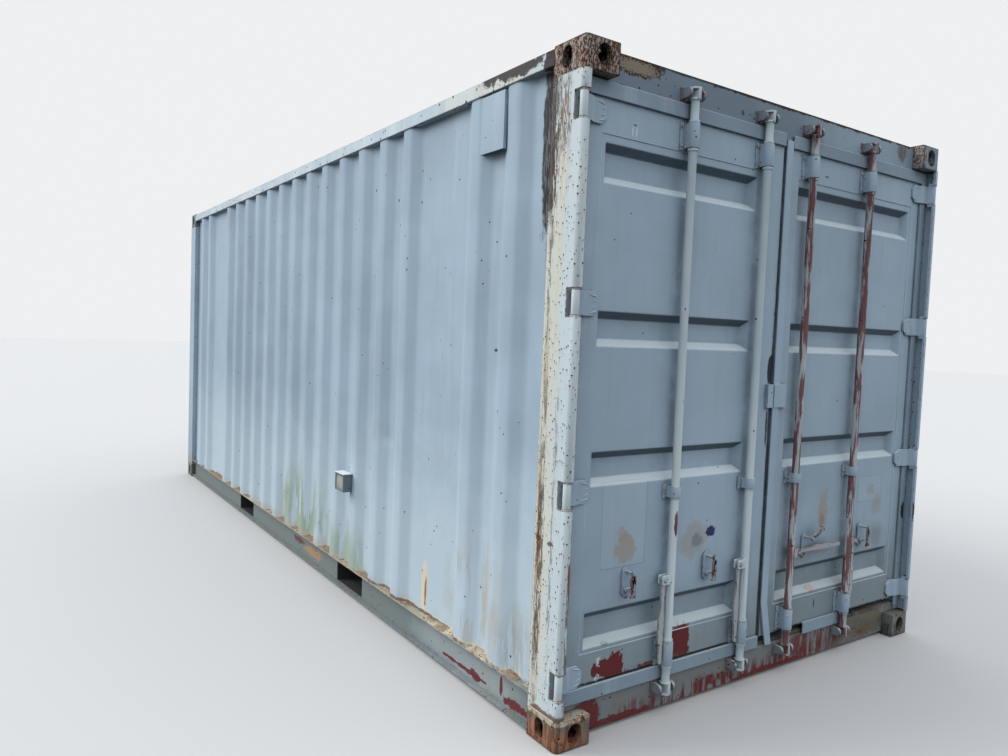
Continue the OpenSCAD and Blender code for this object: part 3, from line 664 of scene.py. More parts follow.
def end_marks(*rows: Row) -> tuple[Mark, ...]:
    """Makes marks on the door end.

    Args:
        *rows: For each mark its tone, its middle across and up, its half size across and up, and then
            what Mark asks for from its strength on.

    Returns:
        The marks.
    """
    return tuple(
        Mark(tone, (DOOR_X, y, z), (FREE, wide, high), *rest) for tone, y, z, wide, high, *rest in rows
    )


def side_marks(*rows: Row) -> tuple[Mark, ...]:
    """Makes marks on the long sides.

    Args:
        *rows: The same as for end_marks, with the places along in place of across.

    Returns:
        The marks.
    """
    return tuple(Mark(tone, (x, 0.0, z), (wide, FREE, high), *rest) for tone, x, z, wide, high, *rest in rows)


def new_material(name: str) -> tuple[bpy.types.Material, Sheet, bpy.types.Node, Socket]:
    """Starts a material with a Principled shader.

    Args:
        name: The material's name.

    Returns:
        The material, its sheet, the shader node and the surface's own coordinates.
    """
    made = bpy.data.materials.new(name)
    made.use_nodes = True
    made.node_tree.nodes.clear()
    sheet = Sheet(made.node_tree)
    shader = sheet.node("ShaderNodeBsdfPrincipled")
    sheet.put(sheet.node("ShaderNodeOutputMaterial").inputs["Surface"], shader.outputs[0])
    shader.inputs["Specular IOR Level"].default_value = 0.1
    place = sheet.node("ShaderNodeTexCoord").outputs["Object"]
    return made, sheet, shader, place


def emboss(sheet: Sheet, shader: bpy.types.Node, height: Socket, depth: float) -> None:
    """Feeds a height to the shader's normal.

    Args:
        sheet: The material's sheet.
        shader: The shader node.
        height: The height, between 0 and 1.
        depth: What a height of 1 means.
    """
    bump = sheet.node("ShaderNodeBump")
    bump.inputs["Strength"].default_value = 1.0
    bump.inputs["Distance"].default_value = depth
    sheet.put(bump.inputs["Height"], height)
    sheet.put(shader.inputs["Normal"], bump.outputs[0])


def rust_colour(sheet: Sheet, place: Socket, scale: float = 40.0) -> Socket:
    """Mottles rust from near black over brown to pale orange.

    Args:
        sheet: The material's sheet.
        place: The surface's own coordinates.
        scale: Waves in a metre.

    Returns:
        The colour's socket.
    """
    coarse = sheet.step(sheet.noise(place, scale, 6.0, 0.7), 0.36, 0.62)
    fine = sheet.step(sheet.noise(place, 3.1 * scale, 4.0, 0.7), 0.5, 0.68)
    deep = sheet.blend(coarse, Tone.RUST_DARK.rgba(), Tone.RUST.rgba())
    return sheet.blend(sheet.times(fine, 0.55), deep, Tone.RUST_PALE.rgba())


def hollow_shade(sheet: Sheet, place: Socket) -> Socket:
    """Finds the insides of the castings and of other deep openings, where black is painted as shade.

    Args:
        sheet: The material's sheet.
        place: The surface's own coordinates.

    Returns:
        The mask's socket.
    """
    inside = CREVICE_SHADE.mask(sheet, Place=place, Reach=0.11, Grain=1.0, Low=0.42, High=0.72)
    return sheet.maths("MULTIPLY", inside, 1.5, clamp=True)


class Finish:
    """A surface finish that hands out one material."""

    name: str

    def build(self) -> bpy.types.Material:
        """Lays out the material's nodes and returns it."""
        raise NotImplementedError

    def material(self) -> bpy.types.Material:
        """Returns the finish's material, built at the first call."""
        return bpy.data.materials.get(self.name) or self.build()


@dataclass(frozen=True)
class PaintedSteel(Finish):
    """Old paint over primer over steel, with fading, runs, chips, rust, placed marks, and painted light and
    shade.

    Attributes:
        name: The material's name.
        coat: The paint's colour.
        deep: The colour of its darker clouds.
        faded: The colour that the paint fades to.
        fade: Share of the surface that has faded.
        runs: Strength of the grey rain marks.
        chips: Share of the paint that is chipped down to the primer.
        peel: Share of the paint that has peeled down to the primer in upright strips.
        dots: Share of the places where a dot of rust breaks through.
        dot_size: Radius of those dots.
        dot_share: That radius as a share of the distance between the places.
        dot_run: Length of the brown runs below them.
        rust: Share of the surface that rusts in blotches.
        edge_rust: Wear along the edges.
        drips: Strength of the brown runs.
        corner_shade_and_dirt: Strength of the darkening in corners: painted shade, with some dirt.
        hollow: Whether deep openings are painted black inside as shade.
        tide: Height of a coat that is full near the foot and fades out upwards, or 0: splashed dirt, and on
            the left wall painted light.
        tide_tone: Colour of that coat.
        tide_cover: Strength of that coat.
        gloss: Roughness of the sound paint.
        painted_shade: Strength of the painted shade on faces that look down and in recesses.
        dust: Strength of the pale coat on faces that look up: painted light, with some dust.
        marks: Placed stains and fields, from the bottom coat up.
        front: Direction of the faces that the marks lie on, or ORIGIN for all faces.
    """

    name: str
    coat: Tone = Tone.PAINT
    deep: Tone = Tone.PAINT_DEEP
    faded: Tone = Tone.PAINT_LIGHT
    fade: float = 0.4
    runs: float = 0.25
    chips: float = 0.0
    peel: float = 0.0
    dots: float = 0.08
    dot_size: float = 0.004
    dot_share: float = 0.16
    dot_run: float = 0.03
    rust: float = 0.0
    edge_rust: float = 0.3
    drips: float = 0.0
    corner_shade_and_dirt: float = 0.5
    hollow: bool = False
    tide: float = 0.0
    tide_tone: Tone = Tone.DIRT
    tide_cover: float = 0.5
    gloss: float = 0.5
    painted_shade: float = 0.0
    dust: float = 0.0
    marks: tuple[Mark, ...] = ()
    front: Point = ORIGIN

    def coats(self, sheet: Sheet, place: Socket) -> Socket:
        """Lays out the paint with its fading, rain marks, placed marks and dirt, and the painted light and
        shade.

        Args:
            sheet: The material's sheet.
            place: The surface's own coordinates.

        Returns:
            The colour's socket.
        """
        clouds = sheet.step(sheet.noise(place, 1.3, 4.0, 0.6), 0.35, 0.68)
        colour = sheet.blend(sheet.times(clouds, 0.6), self.coat.rgba(), self.deep.rgba())
        pale = STREAKS.mask(sheet, Place=place, Scale=5.0, Length=9.0, Coverage=self.fade, Softness=0.3)
        colour = sheet.coat(colour, self.faded, pale, 0.65)
        rain = STREAKS.mask(sheet, Place=place, Scale=26.0, Length=20.0, Coverage=0.5, Softness=0.25)
        colour = sheet.coat(colour, Tone.DIRT, rain, self.runs * 0.5)
        if self.drips:
            brown = STREAKS.mask(
                sheet, Place=place, Scale=20.0, Length=9.0, Coverage=self.drips, Softness=0.14
            )
            colour = sheet.coat(colour, Tone.RUST_PALE, brown, 0.6)
        # Coat that is full near the foot and fades upwards: splashed dirt, and on the left wall painted
        # light.
        if self.tide:
            low = 0.35 * self.tide
            foot_dirt_and_light = RISE.mask(sheet, Place=place, Foot=low, Top=self.tide, Ragged=low, Grain=9.0)
            colour = sheet.coat(colour, self.tide_tone, foot_dirt_and_light, self.tide_cover)
        shown: Value = 1.0
        if any(self.front):
            facing = sheet.node("ShaderNodeTexCoord").outputs["Normal"]
            shown = sheet.maths("GREATER_THAN", sheet.vector("DOT_PRODUCT", facing, self.front), 0.3)
        for mark in self.marks:
            colour = sheet.coat(colour, mark.tone, sheet.times(mark.cover(sheet, place), shown))
        # Painted shade in recesses and on faces that look down, and painted light, with some dust, on faces
        # that look up.
        if self.painted_shade or self.dust:
            up, down = TILT.masks(sheet, Place=place)
            shut = CREVICE_SHADE.mask(sheet, Place=place, Reach=0.14, Grain=3.0, Low=0.04, High=0.6)
            colour = sheet.coat(colour, Tone.STAIN_AND_SHADE, shut, 0.8 * self.painted_shade)
            colour = sheet.coat(colour, Tone.STAIN_AND_SHADE, down, self.painted_shade)
            colour = sheet.coat(colour, Tone.CHALK, up, self.dust)
        # Painted shade: black inside deep openings.
        if self.hollow:
            colour = sheet.coat(colour, Tone.SOOT_AND_SHADE, hollow_shade(sheet, place))
        # Darkening in corners from ambient occlusion: painted shade, with some dirt.
        corners = CREVICE_SHADE.mask(sheet, Place=place, Reach=0.035, Grain=25.0)
        return sheet.coat(colour, Tone.SOOT_AND_SHADE, corners, self.corner_shade_and_dirt)

    def build(self) -> bpy.types.Material:
        """Lays out the coats from the paint up to the rust.

        Returns:
            The material.
        """
        made, sheet, shader, place = new_material(self.name)
        colour = self.coats(sheet, place)
        dot, run = DOTS.masks(
            sheet,
            Place=place,
            Scale=self.dot_share / self.dot_size,
            Stretch=2.5,
            Coverage=self.dots,
            Size=self.dot_size,
            Run=self.dot_run,
        )
        colour = sheet.coat(colour, Tone.RUST_PALE, run, 0.75)
        chip: Value = 0.0
        if self.chips:
            chip = SPECKS.mask(sheet, Place=place, Scale=34.0, Coverage=self.chips, Softness=0.015)
            colour = sheet.coat(colour, Tone.PRIMER, chip)
        if self.peel:
            strips = STREAKS.mask(
                sheet, Place=place, Scale=44.0, Length=11.0, Coverage=self.peel, Softness=0.06
            )
            colour = sheet.coat(colour, Tone.PRIMER, strips, 0.85)
        worn = WEAR.mask(sheet, Place=place, Radius=0.006, Grain=38.0, Coverage=self.edge_rust)
        rusty = worn
        if self.rust:
            eaten = SPECKS.mask(sheet, Place=place, Scale=18.0, Coverage=self.rust, Softness=0.04)
            rusty = sheet.maths("MAXIMUM", eaten, rusty, clamp=True)
        colour = sheet.blend(rusty, colour, rust_colour(sheet, place, 60.0))
        colour = sheet.coat(colour, Tone.SCAB, dot)
        rusty = sheet.maths("MAXIMUM", dot, rusty, clamp=True)
        sheet.put(shader.inputs["Base Color"], colour)
        sheet.put(shader.inputs["Roughness"], sheet.between(rusty, self.gloss, 0.92))
        peel = sheet.times(sheet.noise(place, 260.0, 2.0, 0.5), 0.12)
        pits = sheet.times(rusty, sheet.noise(place, 150.0, 5.0, 0.75))
        height = sheet.maths("SUBTRACT", peel, sheet.times(pits, 0.8))
        height = sheet.maths("SUBTRACT", height, sheet.times(chip, 0.35))
        emboss(sheet, shader, height, 0.0012)
        return made


@dataclass(frozen=True)
class RustySteel(Finish):
    """Bare rust with what is left of the paint, in upright flakes, with painted shade in corners and hollows.

    Attributes:
        name: The material's name.
        left: Share of the paint that is left.
        tint: How much of the rust is one even colour, from 0 to 1.
        even: That colour.
        pale: Colour of the paint that is left.
        scale: Flakes in a metre.
        tall: Height of a flake as a multiple of its width.
        sky_dirt: Strength of the dark dirt on faces that look up.
        edges: Strength of the dark rust along the edges.
        marks: Placed stains and fields.
    """

    name: str
    left: float = 0.35
    tint: float = 0.4
    even: Tone = Tone.RUST
    pale: Tone = Tone.CREAM
    scale: float = 45.0
    tall: float = 3.0
    sky_dirt: float = 0.0
    edges: float = 0.0
    marks: tuple[Mark, ...] = ()

    def build(self) -> bpy.types.Material:
        """Lays out the rust, the last of the paint, the painted shade and the pits.

        Returns:
            The material.
        """
        made, sheet, shader, place = new_material(self.name)
        rust = sheet.blend(self.tint, rust_colour(sheet, place, 30.0), self.even.rgba())
        upright = sheet.vector("MULTIPLY", place, (1.0, 1.0, 1.0 / self.tall))
        flakes = SPECKS.mask(sheet, Place=upright, Scale=self.scale, Coverage=self.left, Softness=0.03)
        fine = SPECKS.mask(sheet, Place=upright, Scale=3.0 * self.scale, Coverage=0.75, Softness=0.06)
        kept = sheet.times(flakes, sheet.between(fine, 0.25, 1.0))
        tint = sheet.blend(sheet.noise(place, 14.0), self.pale.rgba(), Tone.BONE.rgba())
        colour = sheet.blend(kept, rust, tint)
        for mark in self.marks:
            colour = sheet.coat(colour, mark.tone, mark.cover(sheet, place))
        # Painted shade: darkening in corners from ambient occlusion.
        corners = CREVICE_SHADE.mask(sheet, Place=place, Reach=0.05, Grain=20.0)
        colour = sheet.coat(colour, Tone.SOOT_AND_SHADE, corners, 0.7)
        if self.edges:
            rims = WEAR.mask(sheet, Place=place, Radius=0.016, Grain=60.0, Coverage=0.9)
            colour = sheet.coat(colour, Tone.RUST_DARK, rims, self.edges)
        # Painted shade: black inside deep openings.
        colour = sheet.coat(colour, Tone.SOOT_AND_SHADE, hollow_shade(sheet, place))
        if self.sky_dirt:
            topped = sheet.times(TILT.mask(sheet, Place=place), self.sky_dirt)
            colour = sheet.coat(colour, Tone.RUST_DARK, topped)
        sheet.put(shader.inputs["Base Color"], colour)
        sheet.put(shader.inputs["Roughness"], sheet.between(kept, 0.93, 0.6))
        pits = sheet.noise(place, 90.0, 6.0, 0.72)
        height = sheet.plus(sheet.times(pits, 0.8), sheet.times(kept, 0.35))
        emboss(sheet, shader, height, 0.002)
        return made


@dataclass(frozen=True)
class LooseDirt(Finish):
    """Sand, rust crumbs and dead moss that lie on the ledges.

    Attributes:
        name: The material's name.
    """

    name: str = "loose_dirt"

    def build(self) -> bpy.types.Material:
        """Lays out the crumbs.

        Returns:
            The material.
        """
        made, sheet, shader, place = new_material(self.name)
        parts = sheet.parts(place)
        broad = sheet.step(sheet.noise(place, 4.0, 4.0, 0.6), 0.42, 0.62)
        pale = sheet.times(broad, sheet.step(parts[0], 0.9, 2.5))
        colour = sheet.blend(pale, Tone.DIRT.rgba(), Tone.CREAM.rgba())
        crumbs = SPECKS.mask(sheet, Place=place, Scale=110.0, Coverage=0.5, Softness=0.05)
        colour = sheet.blend(crumbs, colour, rust_colour(sheet, place, 120.0))
        green = SPECKS.mask(sheet, Place=place, Scale=9.0, Coverage=0.4, Softness=0.12)
        colour = sheet.coat(colour, Tone.MOSS, green, 0.5)
        sheet.put(shader.inputs["Base Color"], colour)
        sheet.put(shader.inputs["Roughness"], sheet.between(crumbs, 0.95, 0.85))
        emboss(sheet, shader, sheet.noise(place, 240.0, 5.0, 0.75), 0.003)
        return made


@dataclass(frozen=True)
class FloorBoards(Finish):
    """Worn plywood sheets laid across the floor.

    Attributes:
        name: The material's name.
        sheet_l: Length of a plywood sheet along the container.
    """

    name: str = "worn_plywood"
    sheet_l: float = 1.2

    def build(self) -> bpy.types.Material:
        """Lays out grain, scuffs and the joints between the sheets.

        Returns:
            The material.
        """
        made, sheet, shader, place = new_material(self.name)
        squeeze = sheet.vector("MULTIPLY", place, (1.0, 14.0, 14.0))
        grain = sheet.noise(squeeze, 4.0, 8.0, 0.65)
        colour = sheet.blend(sheet.step(grain, 0.35, 0.66), Tone.BOARD_DARK.rgba(), Tone.BOARD.rgba())
        scuffs = SPECKS.mask(sheet, Place=place, Scale=3.0, Coverage=0.5, Softness=0.2)
        colour = sheet.coat(colour, Tone.DIRT, scuffs, 0.5)
        parts = sheet.parts(place)
        along = sheet.maths("DIVIDE", parts[0], self.sheet_l)
        joint = sheet.maths("ABSOLUTE", sheet.maths("SUBTRACT", sheet.maths("FRACT", along), 0.5))
        gap = sheet.rest(sheet.step(joint, 0.002, 0.005))
        colour = sheet.coat(colour, Tone.SOOT_AND_SHADE, gap)
        sheet.put(shader.inputs["Base Color"], colour)
        sheet.put(shader.inputs["Roughness"], sheet.between(scuffs, 0.6, 0.85))
        height = sheet.maths("SUBTRACT", sheet.times(grain, 0.4), gap)
        emboss(sheet, shader, height, 0.002)
        return made


@dataclass(frozen=True)
class LampPane(Finish):
    """Frosted pane of the wall lamp.

    Attributes:
        name: The material's name.
    """

    name: str = "lamp_pane"

    def build(self) -> bpy.types.Material:
        """Lays out the dusty pane.

        Returns:
            The material.
        """
        made, sheet, shader, place = new_material(self.name)
        dust = SPECKS.mask(sheet, Place=place, Scale=60.0, Coverage=0.5, Softness=0.2)
        sheet.put(shader.inputs["Base Color"], sheet.blend(dust, Tone.PANE.rgba(), Tone.DIRT.rgba()))
        sheet.put(shader.inputs["Roughness"], sheet.between(dust, 0.18, 0.6))
        shader.inputs["IOR"].default_value = 1.49
        ribs = sheet.node("ShaderNodeTexWave", bands_direction="X")
        sheet.put(ribs.inputs["Vector"], place)
        ribs.inputs["Scale"].default_value = 60.0
        emboss(sheet, shader, ribs.outputs[1], 0.001)
        return made


def mesh_object(
    name: str, points: np.ndarray, faces: Sequence[Sequence[int]], smooth: bool = True
) -> bpy.types.Object:
    """Makes an object from points and faces.

    Args:
        name: The object's name.
        points: One row of three coordinates a point.
        faces: The corners of each face.
        smooth: Whether the faces are shaded smooth.

    Returns:
        The object, linked to the scene.
    """
    mesh = bpy.data.meshes.new(name)
    mesh.from_pydata(np.asarray(points, float).tolist(), [], [list(f) for f in faces])
    mesh.validate()
    mesh.update()
    if smooth:
        mesh.shade_smooth()
    made = bpy.data.objects.new(name, mesh)
    bpy.context.scene.collection.objects.link(made)
    return made


def sharpen(thing: bpy.types.Object, degrees: float) -> None:
    """Shades an object smooth, but keeps edges sharper than an angle.

    Args:
        thing: The object.
        degrees: The angle between two faces above which their edge stays sharp.
    """
    thing.data.set_sharp_from_angle(angle=math.radians(degrees))


def hand_over(
    thing: bpy.types.Object, finish: Finish, body: str, stands_for: Sequence[str] = ()
) -> None:
    """Gives a finished piece its material and body, and hides the nodes that it stands for.

    Args:
        thing: The piece.
        finish: Its finish.
        body: The body that it rides on.
        stands_for: Names of the nodes that it replaces.
    """
    thing.data.materials.clear()
    thing.data.materials.append(finish.material())
    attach(thing, body)
    if stands_for:
        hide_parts(*stands_for)
    LOG.info("%s rides on %s with %d faces", thing.name, body, len(thing.data.polygons))


def rounded_line(points: Sequence[Pair], radius: float, steps: int) -> list[Pair]:
    """Rounds the corners of an open line with short arcs.

    Args:
        points: Corners of the line.
        radius: Distance from a corner at which its rounding starts.
        steps: Points that replace each corner.

    Returns:
        The rounded line.
    """
    line = [points[0]]
    for before, corner, after in zip(points, points[1:], points[2:]):
        here = Vector(corner)
        back, on = Vector(before) - here, Vector(after) - here
        reach = min(radius, back.length / 2.2, on.length / 2.2)
        start, end = here + back.normalized() * reach, here + on.normalized() * reach
        for i in range(steps):
            t = i / (steps - 1)
            line.append(tuple(start.lerp(here, t).lerp(here.lerp(end, t), t)))
    line.append(points[-1])
    return line


class Ripple:
    """Slow waves of an old sheet, the same at every run."""

    def __init__(self, seed: int, height: float, spacing: float, count: int = 9) -> None:
        """Draws the waves.

        Args:
            seed: Seed of the random draws.
            height: Greatest height of all waves together.
            spacing: Typical length of a wave.
            count: Number of waves.
        """
        draw = np.random.default_rng(seed)
        self.turns = draw.uniform(0, 2 * math.pi, count)
        self.shifts = draw.uniform(0, 2 * math.pi, count)
        self.rates = 2 * math.pi / (spacing * draw.uniform(0.6, 1.8, count))
        self.shares = draw.uniform(0.4, 1.0, count)
        self.height = height

    def at(self, across: np.ndarray, up: np.ndarray) -> np.ndarray:
        """Returns the height of the waves.

        Args:
            across: Places along the sheet.
            up: Heights on the sheet.

        Returns:
            The displacement at each place.
        """
        total = np.zeros(np.broadcast(across, up).shape)
        for turn, shift, rate, share in zip(self.turns, self.shifts, self.rates, self.shares):
            total = total + share * np.sin(rate * (across * math.cos(turn) + up * math.sin(turn)) + shift)
        return self.height * total / self.shares.sum()


@dataclass(frozen=True)
class Dent:
    """A knock in a sheet.

    Attributes:
        across: Its place along the sheet.
        up: Its height.
        wide: Its half width.
        high: Its half height.
        depth: How far it is pushed in.
    """

    across: float
    up: float
    wide: float
    high: float
    depth: float

    def at(self, across: np.ndarray, up: np.ndarray) -> np.ndarray:
        """Returns how far the dent pushes each place in."""
        away = ((across - self.across) / self.wide) ** 2 + ((up - self.up) / self.high) ** 2
        return self.depth * np.exp(-away)


@dataclass
class SteelSheet:
    """A thin sheet given by a grid of points on its outer face.

    Attributes:
        name: The piece's name.
        thickness: Thickness of the sheet.
    """

    name: str
    thickness: float

    def build(self, outer: np.ndarray, inward: Point) -> bpy.types.Object:
        """Closes the sheet round its outer face.

        Args:
            outer: Points with the shape rows, columns and three.
            inward: Direction from the outer to the inner face.

        Returns:
            The closed sheet.
        """
        rows, columns = outer.shape[:2]
        inner = outer + np.array(inward) * self.thickness
        points = np.concatenate([outer.reshape(-1, 3), inner.reshape(-1, 3)])
        half = rows * columns
        faces: list[tuple[int, ...]] = []
        for r in range(rows - 1):
            for c in range(columns - 1):
                a = r * columns + c
                quad = (a, a + 1, a + columns + 1, a + columns)
                faces.append(quad)
                faces.append(tuple(i + half for i in reversed(quad)))
        top = (rows - 1) * columns
        for c in range(columns - 1):
            faces.append((c + 1, c, c + half, c + 1 + half))
            faces.append((top + c, top + c + 1, top + c + 1 + half, top + c + half))
        for r in range(rows - 1):
            low, high = r * columns, (r + 1) * columns
            faces.append((low, high, high + half, low + half))
            low, high = low + columns - 1, high + columns - 1
            faces.append((high, low, low + half, high + half))
        made = mesh_object(self.name, points, faces)
        sharpen(made, SHEET_EDGE)
        return made


@dataclass
class CorrugatedWall:
    """A side wall as its pressed sheet, with soft bends, waves and dents.

    Attributes:
        name: The piece's name.
        node: The node that it replaces.
        finish: Its finish.
        side: -1 on the left and 1 on the right.
        seed: Seed of its waves.
        pitch: Spacing of the crests.
        crest: Width of a crest.
        slope: Length of a slope along the wall.
        depth: Depth of the pressing.
        bend: Distance from a corner at which its bend starts.
        run: Number of crests on each side of the middle one.
        singles: Distances of the single crests from the ends.
        dents: Knocks in the sheet.
        rows: Rows of points up the sheet.
        give: How far the middle of the sheet lies back.
        slow: Greatest height and typical length of its slow waves.
        quick: The same for its quick waves.
        held_up: Height at its foot and head over which all of these fade out.
        held_along: The same at both ends.
        thickness: Thickness of the steel.
    """

    name: str
    node: str
    finish: Finish
    side: int
    seed: int
    pitch: float = 0.278
    crest: float = 0.072
    slope: float = 0.068
    depth: float = 0.036
    bend: float = 0.017
    run: int = 6
    singles: tuple[float, float] = (0.263, 0.541)
    dents: tuple[Dent, ...] = ()
    rows: int = 64
    give: float = 0.0032
    slow: Pair = (0.003, 0.75)
    quick: Pair = (0.0012, 0.22)
    held_up: float = 0.18
    held_along: float = 0.12
    thickness: float = 0.002

    def crests(self, end: float) -> list[float]:
        """Returns the middles of all crests of a wall that ends at plus and minus end."""
        edge = [end - s for s in self.singles]
        return sorted([-e for e in edge] + edge + [k * self.pitch for k in range(-self.run, self.run + 1)])

    def line(self, end: float) -> list[Pair]:
        """Draws the wall's section.

        Args:
            end: Half length of the wall.

        Returns:
            Places along the wall with their depths behind the crests.
        """
        corners = [(-end, self.depth)]
        for c in self.crests(end):
            half = self.crest / 2
            corners += [(c - half - self.slope, self.depth), (c - half, 0.0)]
            corners += [(c + half, 0.0), (c + half + self.slope, self.depth)]
        corners.append((end, self.depth))
        return rounded_line(corners, self.bend, 4)

    def build(self) -> None:
        """Builds the wall and hands it over."""
        low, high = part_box(self.node)
        face = low.y if self.side < 0 else high.y
        section = np.array(self.line(high.x))
        along, up = np.meshgrid(section[:, 0], np.linspace(low.z, high.z, self.rows))
        deep = np.tile(section[:, 1], (self.rows, 1))
        hold = np.clip((up - low.z) / self.held_up, 0, 1) * np.clip((high.z - up) / self.held_up, 0, 1)
        hold = hold * np.clip((high.x - np.abs(along)) / self.held_along, 0, 1)
        push = self.give + Ripple(self.seed, *self.slow).at(along, up)
        push = push + Ripple(self.seed + 1, *self.quick).at(along, up)
        for dent in self.dents:
            push = push + dent.at(along, up)
        deep = deep + push * hold
        outer = np.stack([along, face - self.side * deep, up], axis=-1)
        if self.side > 0:
            outer = outer[:, ::-1]
        wall = SteelSheet(self.name, self.thickness).build(outer, (0, -self.side, 0))
        hand_over(wall, self.finish, "root", [self.node])


@dataclass
class PressedDoor:
    """The pressed sheet of one door leaf.

    Attributes:
        name: The piece's name.
        node: The node that it replaces.
        body: The door that it rides on.
        finish: Its finish.
        side: -1 for the left door and 1 for the right one.
        inner: Distance of the recesses from the middle of the doors.
        seed: Seed of its waves.
        outer: Distance of the recesses from the middle of the doors, at the hinge side.
        lows: Heights of the lower edges of the recesses.
        highs: Heights of the recesses.
        depth: Depth of a recess.
        slope: Width of the slope round a recess.
        give: How far the sheet lies back.
        waves: Greatest height and typical length of its waves.
        held: Width of the rim over which both fade out.
        thickness: Thickness of the steel.
    """

    name: str
    node: str
    body: str
    finish: Finish
    side: int
    inner: float
    seed: int
    outer: float = 1.055
    lows: tuple[float, ...] = (0.340, 0.968, 1.500, 2.105)
    highs: tuple[float, ...] = (0.140, 0.132, 0.132, 0.145)
    depth: float = 0.032
    slope: float = 0.028
    give: float = 0.0012
    waves: Pair = (0.0022, 0.55)
    held: float = 0.09
    thickness: float = 0.003

    def recess(self, across: np.ndarray, up: np.ndarray) -> np.ndarray:
        """Returns how deep the recesses are at each place.

        Args:
            across: Distances from the middle of the doors.
            up: Heights.

        Returns:
            The depths.
        """
        deep = np.zeros_like(across)
        for low, high in zip(self.lows, self.highs):
            sides = [across - self.inner, self.outer - across, up - low, low + high - up]
            inside = np.minimum.reduce(sides) / self.slope
            t = np.clip(inside, -0.12, 1.12)
            eased = (np.sqrt(t**2 + 0.004) - np.sqrt((t - 1) ** 2 + 0.004) + 1) / 2
            deep = np.maximum(deep, np.clip(eased, 0, 1))
        return self.depth * deep

    def lines(self, low: float, high: float, edges: Iterable[float]) -> np.ndarray:
        """Spaces grid lines, close together where a slope runs.

        Args:
            low: First line.
            high: Last line.
            edges: Outer edges of the slopes, with the sign of the way in.

        Returns:
            The places of the lines.
        """
        marks = list(np.linspace(low, high, max(4, int((high - low) / 0.04))))
        for edge in edges:
            way = math.copysign(1.0, edge)
            marks += [abs(edge) + way * self.slope * t for t in np.linspace(-0.25, 1.25, 13)]
        kept = sorted(m for m in marks if low <= m <= high)
        return np.array([m for i, m in enumerate(kept) if i == 0 or m - kept[i - 1] > 0.0008 or m == high])

    def build(self) -> None:
        """Builds the sheet and hands it over."""
        low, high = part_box(self.node)
        near, far = sorted((abs(low.y), abs(high.y)))
        ups = self.lines(low.z, high.z, [v for a, b in zip(self.lows, self.highs) for v in (a, -(a + b))])
        across, up = np.meshgrid(self.lines(near, far, [self.inner, -self.outer]), ups)
        rim = np.minimum.reduce([across - near, far - across, up - low.z, high.z - up])
        push = self.give + Ripple(self.seed, *self.waves).at(across, up)
        deep = self.recess(across, up) + np.clip(rim / self.held, 0, 1) * push
        outer = np.stack([high.x - deep, self.side * across, up], axis=-1)
        if self.side < 0:
            outer = outer[:, ::-1]
        sheet = SteelSheet(self.name, self.thickness).build(outer, (-1, 0, 0))
        hand_over(sheet, self.finish, self.body, [self.node])


def circle(radius: float, height: float, sides: int, spin: float = 0.0) -> list[Vector]:
    """Places points round the Z axis.

    Args:
        radius: Their distance from it.
        height: Their height.
        sides: Their number.
        spin: Angle of the first one in radians.

    Returns:
        The points.
    """
    angles = [spin + 2 * math.pi * i / sides for i in range(sides)]
    return [Vector((radius * math.cos(a), radius * math.sin(a), height)) for a in angles]


